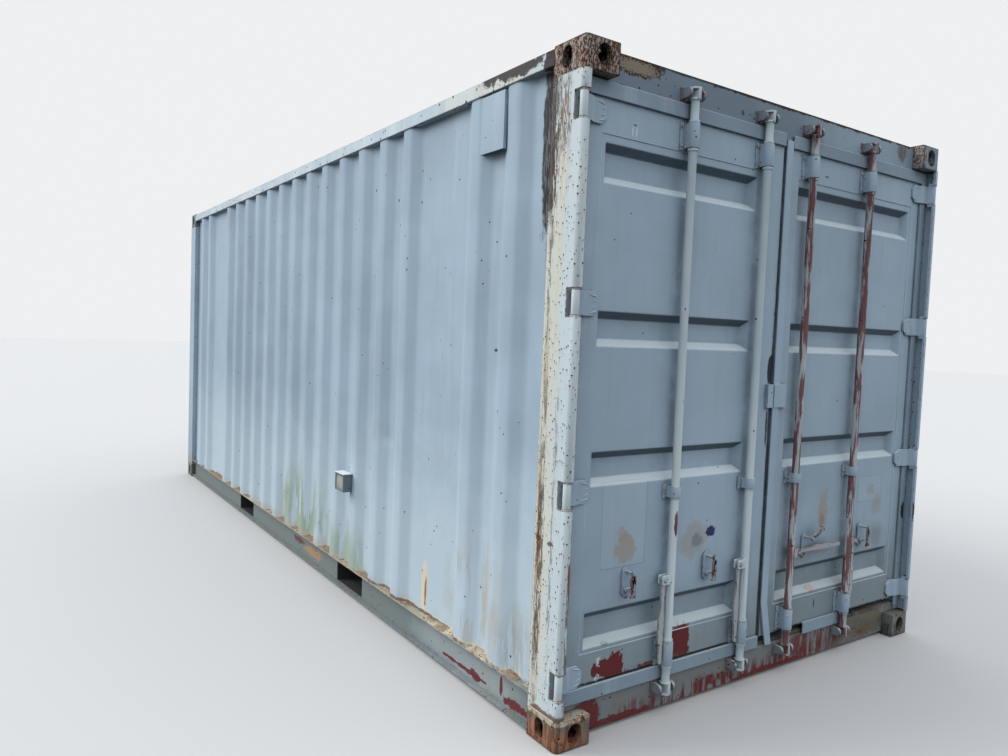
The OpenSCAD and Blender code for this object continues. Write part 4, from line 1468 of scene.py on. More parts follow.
class Bag:
    """Points and faces of many small forms that become one mesh."""

    def __init__(self) -> None:
        """Starts empty."""
        self.points: list[Vector] = []
        self.faces: list[tuple[int, ...]] = []

    def rings(self, rings: Sequence[Sequence[Vector]]) -> None:
        """Adds a skin over rings of points, with a flat face at both ends.

        Args:
            rings: Rings with the same number of points.
        """
        first, count = len(self.points), len(rings[0])
        for ring in rings:
            self.points.extend(ring)
        for r in range(len(rings) - 1):
            for i in range(count):
                a, b = first + r * count + i, first + r * count + (i + 1) % count
                self.faces.append((a, b, b + count, a + count))
        self.faces.append(tuple(reversed(range(first, first + count))))
        last = first + (len(rings) - 1) * count
        self.faces.append(tuple(range(last, last + count)))

    def turned(self, centre: Point, facing: Point, profile: Sequence[Pair], sides: int, spin: float) -> None:
        """Adds a turned form such as a bolt head.

        Args:
            centre: The middle of its foot.
            facing: Direction of its axis.
            profile: Pairs of radius and height above the foot.
            sides: Number of sides.
            spin: Turn about its axis in radians.
        """
        turn = Vector(facing).to_track_quat("Z", "X")
        rings = []
        for radius, height in profile:
            rings.append([Vector(centre) + turn @ p for p in circle(radius, height, sides, spin)])
        self.rings(rings)

    def bead(
        self, path: Sequence[Point], radius: float, draw: np.random.Generator, pitch: float = 0.006
    ) -> None:
        """Adds a weld bead: a round rope whose ripples vary in size.

        Args:
            path: Corners of the bead's middle line.
            radius: Its radius.
            draw: Source of the variation.
            pitch: Length of a ripple.
        """
        places: list[Vector] = []
        for start, end in zip(path, path[1:]):
            a, b = Vector(start), Vector(end)
            count = max(2, int((b - a).length / pitch))
            places += [a.lerp(b, i / count) for i in range(count)]
        places.append(Vector(path[-1]))
        rings = []
        for i, here in enumerate(places):
            way = places[min(i + 1, len(places) - 1)] - places[max(i - 1, 0)]
            turn = way.normalized().to_track_quat("Z", "X")
            size = radius * (0.72 + 0.22 * (i % 2) + 0.25 * draw.random())
            rings.append([here + turn @ p for p in circle(size, 0.0, 6)])
        self.rings(rings)

    def crease(self, start: Point, end: Point, radius: float, peak: float) -> None:
        """Adds a pressed crease: a ridge that swells to its peak and thins out to both ends.

        Args:
            start: Its first end, on the plate.
            end: Its other end, on the plate.
            radius: Its half width where it is widest.
            peak: Place of that widest part, from 0 at the start to 1 at the end.
        """
        a, b = Vector(start), Vector(end)
        turn = (b - a).normalized().to_track_quat("Z", "X")
        rings = []
        for i in range(15):
            t = i / 14
            swell = t / peak if t < peak else (1 - t) / (1 - peak)
            size = max(0.0002, radius * math.sin(math.pi / 2 * swell) ** 0.8)
            rings.append([a.lerp(b, t) + turn @ p for p in circle(size, 0.0, 12)])
        self.rings(rings)

    def make(self, name: str, degrees: float = 35.0) -> bpy.types.Object:
        """Turns the forms into one object.

        Args:
            name: The object's name.
            degrees: The angle above which an edge stays sharp.

        Returns:
            The object.
        """
        made = mesh_object(name, np.array([tuple(p) for p in self.points]), self.faces)
        sharpen(made, degrees)
        return made


@dataclass
class Bolts:
    """Bolt heads on washers, facing out of the door end.

    Attributes:
        name: The piece's name.
        body: The body that they ride on.
        finish: Their finish.
        places: Middles of their feet.
        head: Radius of a head.
        high: Height of a head.
        sides: 6 for a hexagon, more for a round head.
    """

    name: str
    body: str
    finish: Finish
    places: tuple[Point, ...]
    head: float
    high: float
    sides: int = 6

    def build(self) -> None:
        """Builds the bolt heads and hands them over."""
        draw = np.random.default_rng(len(self.name) + len(self.places))
        bag = Bag()
        r, h = self.head, self.high
        washer = [(r * 1.3, -0.001), (r * 1.35, 0.0008), (r * 1.28, 0.0018), (r, 0.0019)]
        crown = [(r, 0.001), (r, h * 0.82), (r * 0.86, h), (r * 0.3, h)]
        for place in self.places:
            bag.turned(place, FACING_OUT, washer, 20, 0.0)
            bag.turned(place, FACING_OUT, crown, self.sides, float(draw.uniform(0, math.pi / 3)))
        hand_over(bag.make(self.name), self.finish, self.body)


@dataclass
class WeldBeads:
    """Weld beads along given lines.

    Attributes:
        name: The piece's name.
        body: The body that they ride on.
        finish: Their finish.
        lines: Corners of each bead's middle line.
        radius: Radius of a bead.
    """

    name: str
    body: str
    finish: Finish
    lines: tuple[tuple[Point, ...], ...]
    radius: float

    def build(self) -> None:
        """Builds the beads and hands them over."""
        draw = np.random.default_rng(len(self.name))
        bag = Bag()
        for line in self.lines:
            bag.bead(line, self.radius, draw)
        hand_over(bag.make(self.name, 80.0), self.finish, self.body)


@dataclass
class StrapCreases:
    """Creases pressed into the straps of one door's hinges.

    Attributes:
        name: The piece's name.
        body: The door that they ride on.
        finish: Their finish.
        side: -1 for the left door and 1 for the right one.
        middles: Heights of the middles of the hinges.
        face: Place of the straps' front face.
        root: Distance of a crease's start from the middle of the doors.
        tip: Distance of its end from the middle of the doors.
        radius: Half width of the widest crease.
        sunk: How deep a crease's middle line lies behind the face.
        lines: For each crease, its start from root to tip, its height at both ends and its share of
            the width.
    """

    name: str
    body: str
    finish: Finish
    side: int
    middles: tuple[float, ...] = (0.245, 0.955, 1.655, 2.352)
    face: float = 2.979
    root: float = 1.120
    tip: float = 1.0685
    radius: float = 0.0042
    sunk: float = 0.0016
    lines: tuple[tuple[float, float, float, float], ...] = (
        (0.05, 0.037, 0.026, 1.0),
        (0.45, 0.012, 0.009, 0.75),
        (0.40, -0.019, -0.006, 0.8),
        (0.10, -0.038, -0.025, 0.9),
    )

    def build(self) -> None:
        """Builds the creases and hands them over."""
        bag = Bag()
        x = self.face - self.sunk
        for middle in self.middles:
            for begin, rise, fall, share in self.lines:
                start = (x, self.side * (self.root + begin * (self.tip - self.root)), middle + rise)
                bag.crease(start, (x, self.side * self.tip, middle + fall), share * self.radius, 0.6)
        hand_over(bag.make(self.name, 60.0), self.finish, self.body)


@dataclass
class LedgeDirt:
    """Dirt that has gathered on the ledge at the foot of a side wall.

    Attributes:
        name: The piece's name.
        wall: The wall above the ledge.
        finish: Its finish.
        foot: Height of the ledge.
        seed: Seed of its heaps.
        high: Greatest height of a heap.
        edge: Distance of the ledge's edge from the middle of the container.
        margin: Distance kept from the wall and from its ends.
        pitch: Spacing of the points along the ledge.
        rows: Rows of points across it.
        sunk: How deep the strip's edge lies in the ledge.
        thickness: Thickness of the strip.
    """

    name: str
    wall: CorrugatedWall
    finish: Finish
    foot: float = 0.165
    seed: int = 5
    high: float = 0.017
    edge: float = 1.2175
    margin: float = 0.004
    pitch: float = 0.007
    rows: int = 7
    sunk: float = 0.0012
    thickness: float = 0.0035

    def build(self) -> None:
        """Builds the strip of heaps and hands it over."""
        low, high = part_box(self.wall.node)
        section = np.array(self.wall.line(high.x))
        along = np.arange(-high.x + self.margin, high.x - self.margin, self.pitch)
        deep = np.interp(along, section[:, 0], section[:, 1]) + self.margin
        level = 0 * along
        rough = Ripple(self.seed, 1.0, 0.5).at(along, level)
        rough = rough + Ripple(self.seed + 1, 0.7, 0.07).at(along, level)
        heaps = np.clip((deep - 0.008) / 0.03, 0, 1) * np.clip(0.55 + 1.6 * rough, 0, 1.2)
        shares = np.linspace(0, 1, self.rows)
        wall_y = max(abs(low.y), abs(high.y)) - deep
        across = wall_y[None, :] + (self.edge - wall_y)[None, :] * shares[:, None]
        places = np.tile(along, (self.rows, 1))
        crumbs = Ripple(self.seed + 2, 0.006, 0.025, 15).at(places, across)
        fall = (1 - shares[:, None]) ** 0.9
        base = self.foot - self.sunk
        up = base + self.high * heaps[None, :] * fall + crumbs * np.minimum(1, heaps)[None, :] * (0.3 + fall)
        up[-1] = base
        points = np.stack([places, self.wall.side * across, up], axis=-1)
        if self.wall.side > 0:
            points = points[:, ::-1]
        made = SteelSheet(self.name, self.thickness).build(points, (0, 0, -1))
        hand_over(made, self.finish, "root")


@dataclass
class LampGlass:
    """Ribbed pane in the frame of the wall lamp.

    Attributes:
        finish: Its finish.
        border: Distance from the edge of the box to the pane.
        bulge: How far the middle of the pane stands out.
        lid: How far the lid stands over the box.
        inset: How far the pane lies behind the frame.
        rib: Height of its ribs.
        rib_pitch: Spacing of its ribs.
        thickness: Thickness of the pane.
    """

    finish: Finish
    border: float = 0.0085
    bulge: float = 0.0025
    lid: float = 0.004
    inset: float = 0.0045
    rib: float = 0.0006
    rib_pitch: float = 0.0085
    thickness: float = 0.0015

    def build(self) -> None:
        """Builds the pane and hands it over."""
        low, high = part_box("wall_lamp")
        left, right = low.x + self.lid + self.border, high.x - self.lid - self.border
        foot, head = low.z + self.border, high.z - self.lid - self.border
        along, up = np.meshgrid(np.linspace(left, right, 49), np.linspace(foot, head, 13))
        dome = np.sin(math.pi * (along - left) / (right - left))
        dome = dome * np.sin(math.pi * (up - foot) / (head - foot))
        ribs = self.rib * np.sin(2 * math.pi * (along - left) / self.rib_pitch)
        front = low.y + self.lid + self.inset - self.bulge * dome - ribs * (dome > 0.02)
        points = np.stack([along, front, up], axis=-1)
        pane = SteelSheet("lamp_glass", self.thickness).build(points, (0, 1, 0))
        hand_over(pane, self.finish, "root")


@dataclass
class Dressing:
    """The nodes that keep their own shape: each gets a finish and softened edges.

    Attributes:
        finish: The finish of the nodes.
        nodes: Names of the nodes.
        edge: Width of the rounding on their edges.
        steps: Faces across the rounding.
        join: Distance below which points are joined first.
        sharp: Angle in degrees above which an edge is rounded.
    """

    finish: Finish
    nodes: tuple[str, ...]
    edge: float = 0.002
    steps: int = 2
    join: float = 0.00005
    sharp: float = 32.0

    def build(self) -> None:
        """Dresses the nodes."""
        for name in self.nodes:
            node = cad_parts[name]
            node.data.materials.clear()
            node.data.materials.append(self.finish.material())
            node.modifiers.new("join", "WELD").merge_threshold = self.join
            round_off = node.modifiers.new("round", "BEVEL")
            round_off.width = self.edge
            round_off.segments = self.steps
            round_off.limit_method = "ANGLE"
            round_off.angle_limit = math.radians(self.sharp)
            LOG.info("%s is dressed in %s", name, self.finish.name)


@dataclass
class Studio:
    """Camera, light and floor.

    Attributes:
        eye: Place of the camera.
        turn: Turn of the camera in degrees about X, Y and Z.
        reach: Focal length as a share of the picture's width.
        sensor: Width of the camera's sensor in millimetres.
        sunlight: Strength of the soft light.
        spread: Its width in degrees.
        warmth: Its colour.
        sun_way: Direction that it comes from.
        low_sky: Colour of the surround at the horizon, as a light.
        high_sky: The same overhead.
        backdrop: Colour of the surround that the camera sees.
        floor_dark: The floor's colour as a light.
        floor_seen: The floor's colour that the camera sees.
        floor_half: Half width of the floor.
    """

    eye: Point = (5.131, -2.948, 1.529)
    turn: Point = (86.77, -2.24, 55.73)
    reach: float = 0.7585
    sensor: float = 36.0
    sunlight: float = 2.05
    spread: float = 38.0
    warmth: Point = (1.0, 0.985, 0.96)
    sun_way: Point = (-0.55, -0.65, 0.52)
    low_sky: Colour = (0.79, 0.82, 0.86, 1)
    high_sky: Colour = (1.42, 1.47, 1.55, 1)
    backdrop: Colour = (0.86, 0.87, 0.88, 1)
    floor_dark: Colour = (0.06, 0.058, 0.055, 1)
    floor_seen: Colour = (0.50, 0.50, 0.497, 1)
    floor_half: float = 60.0

    def camera(self) -> None:
        """Sets the camera at the photograph's angle."""
        data = bpy.data.cameras.new("camera")
        data.sensor_width = self.sensor
        data.lens = self.reach * self.sensor
        data.clip_end = 200.0
        made = bpy.data.objects.new("camera", data)
        made.location = self.eye
        made.rotation_euler = Euler([math.radians(t) for t in self.turn], "XYZ")
        bpy.context.scene.collection.objects.link(made)
        bpy.context.scene.camera = made

    def sun(self) -> None:
        """Adds the wide soft light from the left and above."""
        data = bpy.data.lights.new("key", "SUN")
        data.energy = self.sunlight
        data.angle = math.radians(self.spread)
        data.color = self.warmth
        made = bpy.data.objects.new("key", data)
        made.rotation_euler = Vector(self.sun_way).to_track_quat("Z", "Y").to_euler()
        bpy.context.scene.collection.objects.link(made)

    def sky(self) -> None:
        """Adds the pale surround, brighter at the horizon than overhead."""
        world = bpy.data.worlds.new("surround")
        world.use_nodes = True
        world.node_tree.nodes.clear()
        sheet = Sheet(world.node_tree)
        shader = sheet.node("ShaderNodeBackground")
        sheet.put(sheet.node("ShaderNodeOutputWorld").inputs["Surface"], shader.outputs[0])
        parts = sheet.parts(sheet.node("ShaderNodeTexCoord").outputs["Generated"])
        light = sheet.blend(sheet.step(parts[2], 0.0, 0.9), self.low_sky, self.high_sky)
        ray = sheet.node("ShaderNodeLightPath")
        seen = sheet.maths("MAXIMUM", ray.outputs["Is Camera Ray"], ray.outputs["Is Transmission Ray"])
        sheet.put(shader.inputs["Color"], sheet.blend(seen, light, self.backdrop))
        bpy.context.scene.world = world

    def floor(self) -> None:
        """Lays the plain pale floor."""
        made, sheet, shader, _ = new_material("pale_floor")
        ray = sheet.node("ShaderNodeLightPath")
        seen = sheet.maths("MAXIMUM", ray.outputs["Is Camera Ray"], ray.outputs["Is Glossy Ray"])
        sheet.put(shader.inputs["Base Color"], sheet.blend(seen, self.floor_dark, self.floor_seen))
        shader.inputs["Roughness"].default_value = 0.9
        ways = ((-1, -1), (1, -1), (1, 1), (-1, 1))
        corners = np.array([(x * self.floor_half, y * self.floor_half, -0.001) for x, y in ways])
        ground = mesh_object("studio_floor", corners, [(0, 1, 2, 3)], smooth=False)
        ground.data.materials.append(made)

    def build(self) -> None:
        """Builds the studio."""
        self.camera()
        self.sun()
        self.sky()
        self.floor()
        bpy.context.scene.view_settings.view_transform = "Standard"


WALL_MARKS = side_marks(
    (Tone.MOSS, 0.25, 0.30, 0.60, 0.42, 0.6, 0.9, 5, 2, 0.8, 9),
    (Tone.MOSS, -0.07, 0.36, 0.12, 0.16, 0.75, 1, 9, 2, 0.8),
    (Tone.MOSS, 0.22, 0.60, 0.09, 0.22, 0.35, 1, 9, 2, 0.8),
    (Tone.MOSS, 1, 0.24, 0.45, 0.20, 0.5, 0.9, 6, 2, 0.8, 9),
    (Tone.SAND, 0.2, 0.17, 2.6, 0.06, 0.4, 1.2, 4, 3, 0.8),
    (Tone.CREAM, 2.3, 0.175, 0.6, 0.022, 0.6, 2, 14, 3, 0.6),
    (Tone.RUST_BROWN, 1.9, 0.172, 0.9, 0.012, 0.8, 2.6, 18, 3, 0.5),
    (Tone.SOOT_AND_SHADE, 2.812, 2.27, 0.072, 0.35, 0.97, 0.8, 11, 4, 0.15),
    (Tone.SLATE, 2.812, 2.24, 0.070, 0.37, 0.45, 1.2, 16, 4, 0.35, 170),
    (Tone.SOOT_AND_SHADE, 2.812, 2.24, 0.070, 0.37, 0.9, 1.2, 16, 4, 0.35, 90),
    (Tone.RUST_BROWN, 2.83, 1.95, 0.05, 0.36, 0.6, 1.2, 16, 2, 0.5, 30),
    (Tone.SAND, 2.42, 0.36, 0.42, 0.36, 0.55, 1, 7, 2, 0.9, 14),
    (Tone.DIRT, 2.70, 0.26, 0.14, 0.24, 0.42, 1, 9, 2, 0.9, 22),
    (Tone.CREAM, 1.925, 0.305, 0.030, 0.12, 0.95, 0.9, 28, 3, 0.1),
    (Tone.RUST, 1.94, 0.28, 0.012, 0.09, 0.85, 1.4, 50, 2, 0.25),
    (Tone.SOOT_AND_SHADE, 2.473, 1.464, 0.016, 0.007, 0.9, 1.6, 90, 2, 0.2),
    (Tone.SOOT_AND_SHADE, 1.238, 2.285, 0.007, 0.010, 0.9, 1.2, 90, 2, 0.3),
    (Tone.SOOT_AND_SHADE, 1.525, 2.197, 0.007, 0.010, 0.9, 1.2, 90, 2, 0.3),
    (Tone.SOOT_AND_SHADE, 1.012, 2.231, 0.008, 0.010, 0.9, 1.2, 90, 2, 0.3),
    (Tone.SOOT_AND_SHADE, 1.575, 2.125, 0.007, 0.009, 0.9, 1.2, 90, 2, 0.3),
    # Pale patch on the dent at 1.47 along the wall: painted highlight.
    (Tone.PAINT_LIGHT, 1.49, 0.94, 0.07, 0.04, 0.4, 1, 14, 2, 0.6),
)


def left_door_marks() -> tuple[Mark, ...]:
    """Lists the stains and peels of the left door.

    Returns:
        The marks, from the bottom coat up.
    """
    return end_marks(
        (Tone.SHADE, -0.868, 0.808, 0.118, 0.172, 0.85, 0.03, 20, 24, 0.010, 0, 0.014),
        (Tone.PAINT_LIGHT, -0.868, 0.808, 0.116, 0.170, 0.16, 0.03, 20, 24, 0.02),
        (Tone.TAN, -0.862, 0.71, 0.066, 0.070, 0.62, 2.2, 22, 1.6, 0.35),
        (Tone.TAN, -0.875, 0.77, 0.030, 0.035, 0.5, 2.4, 30, 1.6, 0.4),
        (Tone.TAN, -0.47, 0.70, 0.10, 0.10, 0.45, 2, 12, 2, 0.5),
        (Tone.STAIN_AND_SHADE, -0.445, 0.69, 0.045, 0.035, 0.4, 2.4, 30, 2, 0.5),
        (Tone.SOOT_AND_SHADE, -0.913, 2.337, 0.012, 0.0035, 0.8, 1.2, 60, 2, 0.3),
        (Tone.CHALK, -0.924, 2.312, 0.0035, 0.024, 0.7, 0.6, 60, 2, 0.4),
        (Tone.CHALK, -0.904, 2.312, 0.0035, 0.024, 0.7, 0.6, 60, 2, 0.4),
        (Tone.INK, -0.358, 0.722, 0.030, 0.024, 0.95, 2.2, 70, 2, 0.15),
        (Tone.CHALK, -0.972, 0.23, 0.024, 0.07, 0.6, 2.2, 40, 2, 0.3, 60),
        (Tone.PRIMER, -0.912, 0.240, 0.072, 0.058, 1, 2.6, 26, 2.6, 0.03),
        (Tone.PRIMER, -0.992, 0.247, 0.016, 0.030, 1, 2.2, 40, 2, 0.06),
        (Tone.PRIMER, -0.520, 0.258, 0.055, 0.080, 1, 1.2, 34, 6, 0.02),
        (Tone.PRIMER, -0.838, 0.565, 0.026, 0.055, 0.9, 1.6, 34, 2, 0.1),
        (Tone.RUST_BROWN, -0.64, 0.210, 0.16, 0.014, 0.95, 2.4, 40, 3, 0.2),
        (Tone.RUST, -0.62, 0.214, 0.10, 0.010, 0.8, 3, 70, 2, 0.3),
        (Tone.RUST_DARK, -0.60, 0.202, 0.56, 0.0075, 0.97, 1.4, 30, 6, 0.3),
        (Tone.SOOT_AND_SHADE, -0.945, 0.343, 0.020, 0.008, 0.9, 2.4, 60, 2, 0.3),
        (Tone.PAINT_DEEP, -0.6, 2.283, 0.48, 0.0022, 0.9, 0.8, 20, 9, 0.4),
        (Tone.SOOT_AND_SHADE, -0.020, 1.415, 0.022, 0.070, 0.96, 0.9, 20, 3, 0.15),
        (Tone.SOOT_AND_SHADE, -0.026, 1.16, 0.007, 0.10, 0.9, 1.4, 26, 3, 0.3),
        (Tone.SOOT_AND_SHADE, -0.014, 0.75, 0.004, 1.10, 0.8, 1, 20, 6, 0.3),
        (Tone.RUST_BROWN, -1.15, 0.20, 0.035, 0.035, 0.9, 1.8, 40, 2, 0.3),
    )


def right_door_marks() -> tuple[Mark, ...]:
    """Lists the stains and peels of the right door.

    Returns:
        The marks, from the bottom coat up.
    """
    return end_marks(
        (Tone.SHADE, 0.863, 0.808, 0.11, 0.067, 0.85, 0.03, 20, 24, 0.02, 0, 0.026),
        (Tone.PAINT_LIGHT, 0.863, 0.808, 0.108, 0.065, 0.16, 0.03, 20, 24, 0.04),
        (Tone.TAN, 0.458, 0.73, 0.055, 0.135, 0.6, 1.8, 16, 2, 0.5),
        (Tone.DIRT, 0.455, 0.68, 0.026, 0.050, 0.6, 2.2, 30, 2, 0.5),
        (Tone.TAN, 0.94, 0.71, 0.050, 0.080, 0.4, 2, 18, 2, 0.5),
        (Tone.TAN, 0.870, 0.80, 0.035, 0.035, 0.4, 2.2, 30, 2, 0.5),
        (Tone.RUST, 0.40, 0.350, 0.030, 0.014, 0.95, 2.4, 60, 2, 0.15),
        (Tone.SOOT_AND_SHADE, 0.37, 0.352, 0.010, 0.008, 0.9, 2, 60, 2, 0.3),
        (Tone.SOOT_AND_SHADE, 0.425, 0.275, 0.006, 0.022, 0.85, 1.8, 60, 2, 0.3),
        (Tone.SOOT_AND_SHADE, 0.24, 1.98, 0.004, 0.010, 0.8, 1.8, 60, 2, 0.3),
        (Tone.PAINT_DEEP, 0.6, 2.283, 0.48, 0.0022, 0.9, 0.8, 20, 9, 0.4),
        (Tone.SOOT_AND_SHADE, 0.32, 2.325, 0.018, 0.006, 0.85, 2.4, 50, 2, 0.3),
        (Tone.RUST_DARK, 0.60, 0.190, 0.56, 0.006, 0.9, 1.6, 30, 6, 0.3),
        (Tone.GREEN_GREY, 0.95, 0.55, 0.10, 0.12, 0.5, 1, 9, 2, 0.8),
    )


def finishes() -> dict[str, Finish]:
    """Sets up every finish.

    Returns:
        The finishes by the names of their parts.
    """
    header_marks = end_marks(
        (Tone.PAINT_DEEP, 0.66, 2.52, 0.66, 0.16, 0.95, 0.8, 6, 3, 0.8),
        # Dark band along the top edge of the header.
        (Tone.SOOT_AND_SHADE, 0, 2.590, 1.3, 0.020, 0.85, 1, 9, 8, 0.35),
        (Tone.RUST_DARK, -0.92, 2.556, 0.17, 0.042, 0.95, 1.6, 18, 2, 0.2),
        (Tone.UMBER, -0.94, 2.556, 0.13, 0.030, 0.8, 2.2, 30, 2, 0.3),
        (Tone.RUST_DARK, -0.93, 2.552, 0.13, 0.026, 0.8, 2.8, 60, 2, 0.2),
        (Tone.BONE, -0.92, 2.550, 0.13, 0.026, 0.45, 3, 170, 2, 0.2),
        (Tone.SOOT_AND_SHADE, -0.99, 2.467, 0.035, 0.007, 0.9, 2.6, 60, 2, 0.3),
        (Tone.SOOT_AND_SHADE, -0.86, 2.452, 0.03, 0.005, 0.9, 2.6, 60, 2, 0.3),
        (Tone.SOOT_AND_SHADE, -0.30, 2.50, 0.012, 0.014, 0.7, 2.2, 60, 2, 0.3),
        (Tone.RUST_BROWN, 0.95, 2.54, 0.05, 0.05, 0.7, 2.2, 30, 2, 0.3, 40),
        (Tone.RUST_DARK, 0.30, 2.588, 0.80, 0.018, 0.9, 2.6, 22, 3, 0.3),
    )
    sill_marks = end_marks(
        (Tone.PRIMER, -0.15, 0.00, 1.05, 0.105, 0.95, 0.9, 11, 5, 0.6, 34),
        (Tone.PRIMER, -1.02, 0.06, 0.07, 0.09, 0.95, 0.9, 20, 3, 0.2),
        (Tone.PRIMER, -0.86, 0.020, 0.20, 0.024, 0.95, 1.6, 24, 3, 0.2),
        (Tone.PRIMER, -0.30, 0.060, 0.10, 0.026, 0.95, 2, 28, 2, 0.3, 30),
        (Tone.PRIMER, 0.45, 0.09, 0.28, 0.08, 0.85, 0.9, 14, 3, 0.5, 42),
        (Tone.PRIMER, 0.10, 0.015, 0.30, 0.028, 0.95, 1.2, 20, 3, 0.3),
        (Tone.RUST_BROWN, 0.90, 0.085, 0.17, 0.075, 0.7, 2, 24, 3, 0.6, 60),
        (Tone.RUST, 0.87, 0.050, 0.08, 0.030, 0.8, 2.4, 40, 2, 0.4),
        (Tone.SAND, 0.98, 0.118, 0.16, 0.030, 0.5, 2.2, 24, 2, 0.5),
        (Tone.SOOT_AND_SHADE, 0.86, 0.052, 0.04, 0.010, 0.9, 2, 40, 2, 0.3),
        (Tone.SLUDGE, 0.85, 0.10, 0.36, 0.09, 0.75, 1.6, 12, 3, 0.5),
        # Dark line along the sill's top edge under the door seals: painted shadow.
        (Tone.SOOT_AND_SHADE, 0, 0.153, 1.2, 0.010, 0.75, 1, 20, 8, 0.5),
    )
    post_marks = (
        Mark(Tone.CREAM, (2.89, -1.22, 1.2), (0.075, 0.03, 1.5), 0.5, 0.7, 6.0, 4.0, 0.6),
        *side_marks(
            (Tone.CREAM, 2.93, 2, 0.02, 0.5, 0.35, 1, 8, 3, 0.6, 24),
            (Tone.SCAB, 2.878, 1.70, 0.014, 0.60, 0.6, 1.8, 14, 3, 0.5, 120),
            (Tone.SOOT_AND_SHADE, 2.858, 2.27, 0.022, 0.34, 0.85, 0.9, 16, 3, 0.3),
            (Tone.SCAB, 2.882, 2.20, 0.032, 0.37, 0.85, 1.2, 12, 3, 0.5, 95),
            (Tone.RUST_PALE, 2.935, 2.22, 0.040, 0.28, 0.35, 1.4, 12, 3, 0.6, 60),
            (Tone.SCAB, 2.925, 2.33, 0.040, 0.17, 0.7, 1.4, 16, 3, 0.5, 150),
            (Tone.BONE, 2.880, 0.85, 0.030, 0.85, 0.8, 1, 8, 4, 0.5, 30),
            (Tone.SLUDGE, 2.880, 0.85, 0.020, 0.62, 0.7, 2, 12, 3, 0.4, 70),
            (Tone.SCAB, 2.886, 0.65, 0.028, 0.52, 0.75, 2, 16, 3, 0.5, 120),
            (Tone.RUST_BROWN, 2.880, 0.50, 0.026, 0.40, 0.45, 2, 14, 3, 0.5, 70),
            (Tone.SCAB, 2.955, 0.80, 0.012, 0.60, 0.5, 2.2, 14, 3, 0.5, 110),
        ),
        Mark(Tone.SCAB, (3.03, -1.190, 0.45), (0.05, 0.010, 0.36), 0.75, 1.4, 14.0, 3.0, 0.4, 80.0),
        Mark(Tone.RUST, (3.03, -1.188, 0.66), (0.03, 0.008, 0.06), 0.9, 1.8, 40.0, 2.0, 0.3),
        *side_marks(
            (Tone.RUST_BROWN, 2.875, 0.775, 0.018, 0.014, 0.85, 1.8, 40, 2, 0.3),
            (Tone.RUST_BROWN, 2.945, 0.765, 0.020, 0.010, 0.85, 2.4, 60, 2, 0.3),
            (Tone.RUST_BROWN, 2.96, 0.125, 0.12, 0.018, 0.85, 1.8, 30, 3, 0.4),
        ),
    )
    scratches = side_marks(
        (Tone.STONE, 2.30, 0.09, 0.62, 0.10, 0.5, 0.9, 7, 3, 0.7),
        (Tone.PRIMER, 2.33, 0.050, 0.20, 0.010, 0.95, 3, 16, 2, 0.2),
        (Tone.PRIMER, 2.42, 0.052, 0.05, 0.022, 0.95, 2.4, 30, 2, 0.2),
        (Tone.PRIMER, 2.62, 0.085, 0.012, 0.045, 0.95, 1.8, 34, 2, 0.2),
        (Tone.PRIMER, 2.72, 0.045, 0.10, 0.022, 0.95, 2.4, 26, 2, 0.2),
        (Tone.PRIMER, 0.2, 0.10, 0.12, 0.020, 0.8, 2.4, 20, 2, 0.3),
        (Tone.RUST_PALE, 0.45, 0.08, 0.2, 0.04, 0.7, 1.6, 10, 2, 0.6),
        (Tone.SAND, 0, 0.166, 2.85, 0.006, 0.8, 1, 12, 8, 0.4),
    )
    knuckles = end_marks((Tone.POST_PALE, -1.219, 0, 0.034, FREE, 0.9, 0.05, 30, 8, 0.1))
    torn = end_marks(
        (Tone.SOOT_AND_SHADE, 1.105, 0.68, 0.032, 0.080, 1, 1.6, 24, 3, 0.08),
        (Tone.RUST_DARK, 1.180, 0.667, 0.028, 0.055, 0.97, 1.4, 30, 2, 0.2),
    )
    rail_rust = (
        *side_marks(
            (Tone.RUST_BROWN, 1.2, 2.586, 1.9, 0.007, 0.8, 2, 7, 6, 0.5),
        ),
        Mark(Tone.CREAM, (2.45, -1.22, 2.545), (0.5, FREE, 0.04), 0.5, 1.4, 6.0, 3.0, 0.7),
        Mark(Tone.SOOT_AND_SHADE, (2.60, -1.22, 2.57), (0.26, FREE, 0.040), 0.95, 2.4, 24.0, 2.0, 0.3),
        Mark(Tone.SOOT_AND_SHADE, (2.83, -1.22, 2.53), (0.045, FREE, 0.10), 0.97, 1.8, 24.0, 3.0, 0.15),
    )
    cast_marks = (
        Mark(Tone.CLAY, (3, -1.22, 0.02), (0.3, 0.2, 0.075), 0.85, 0.7, 14.0, 3.0, 0.4),
        Mark(Tone.CREAM, (3, -1.22, 0.115), (0.3, 0.2, 0.018), 0.7, 1.6, 30.0, 3.0, 0.4),
        Mark(Tone.RUST_BROWN, (3, -1.22, 0.05), (0.3, 0.2, 0.08), 0.7, 0.9, 14.0, 3.0, 0.4, 60.0),
        Mark(Tone.SOOT_AND_SHADE, (3, 1.15, 0.03), (0.3, 0.2, 0.06), 0.6, 1.2, 20.0, 2.0, 0.5, 40.0),
    )
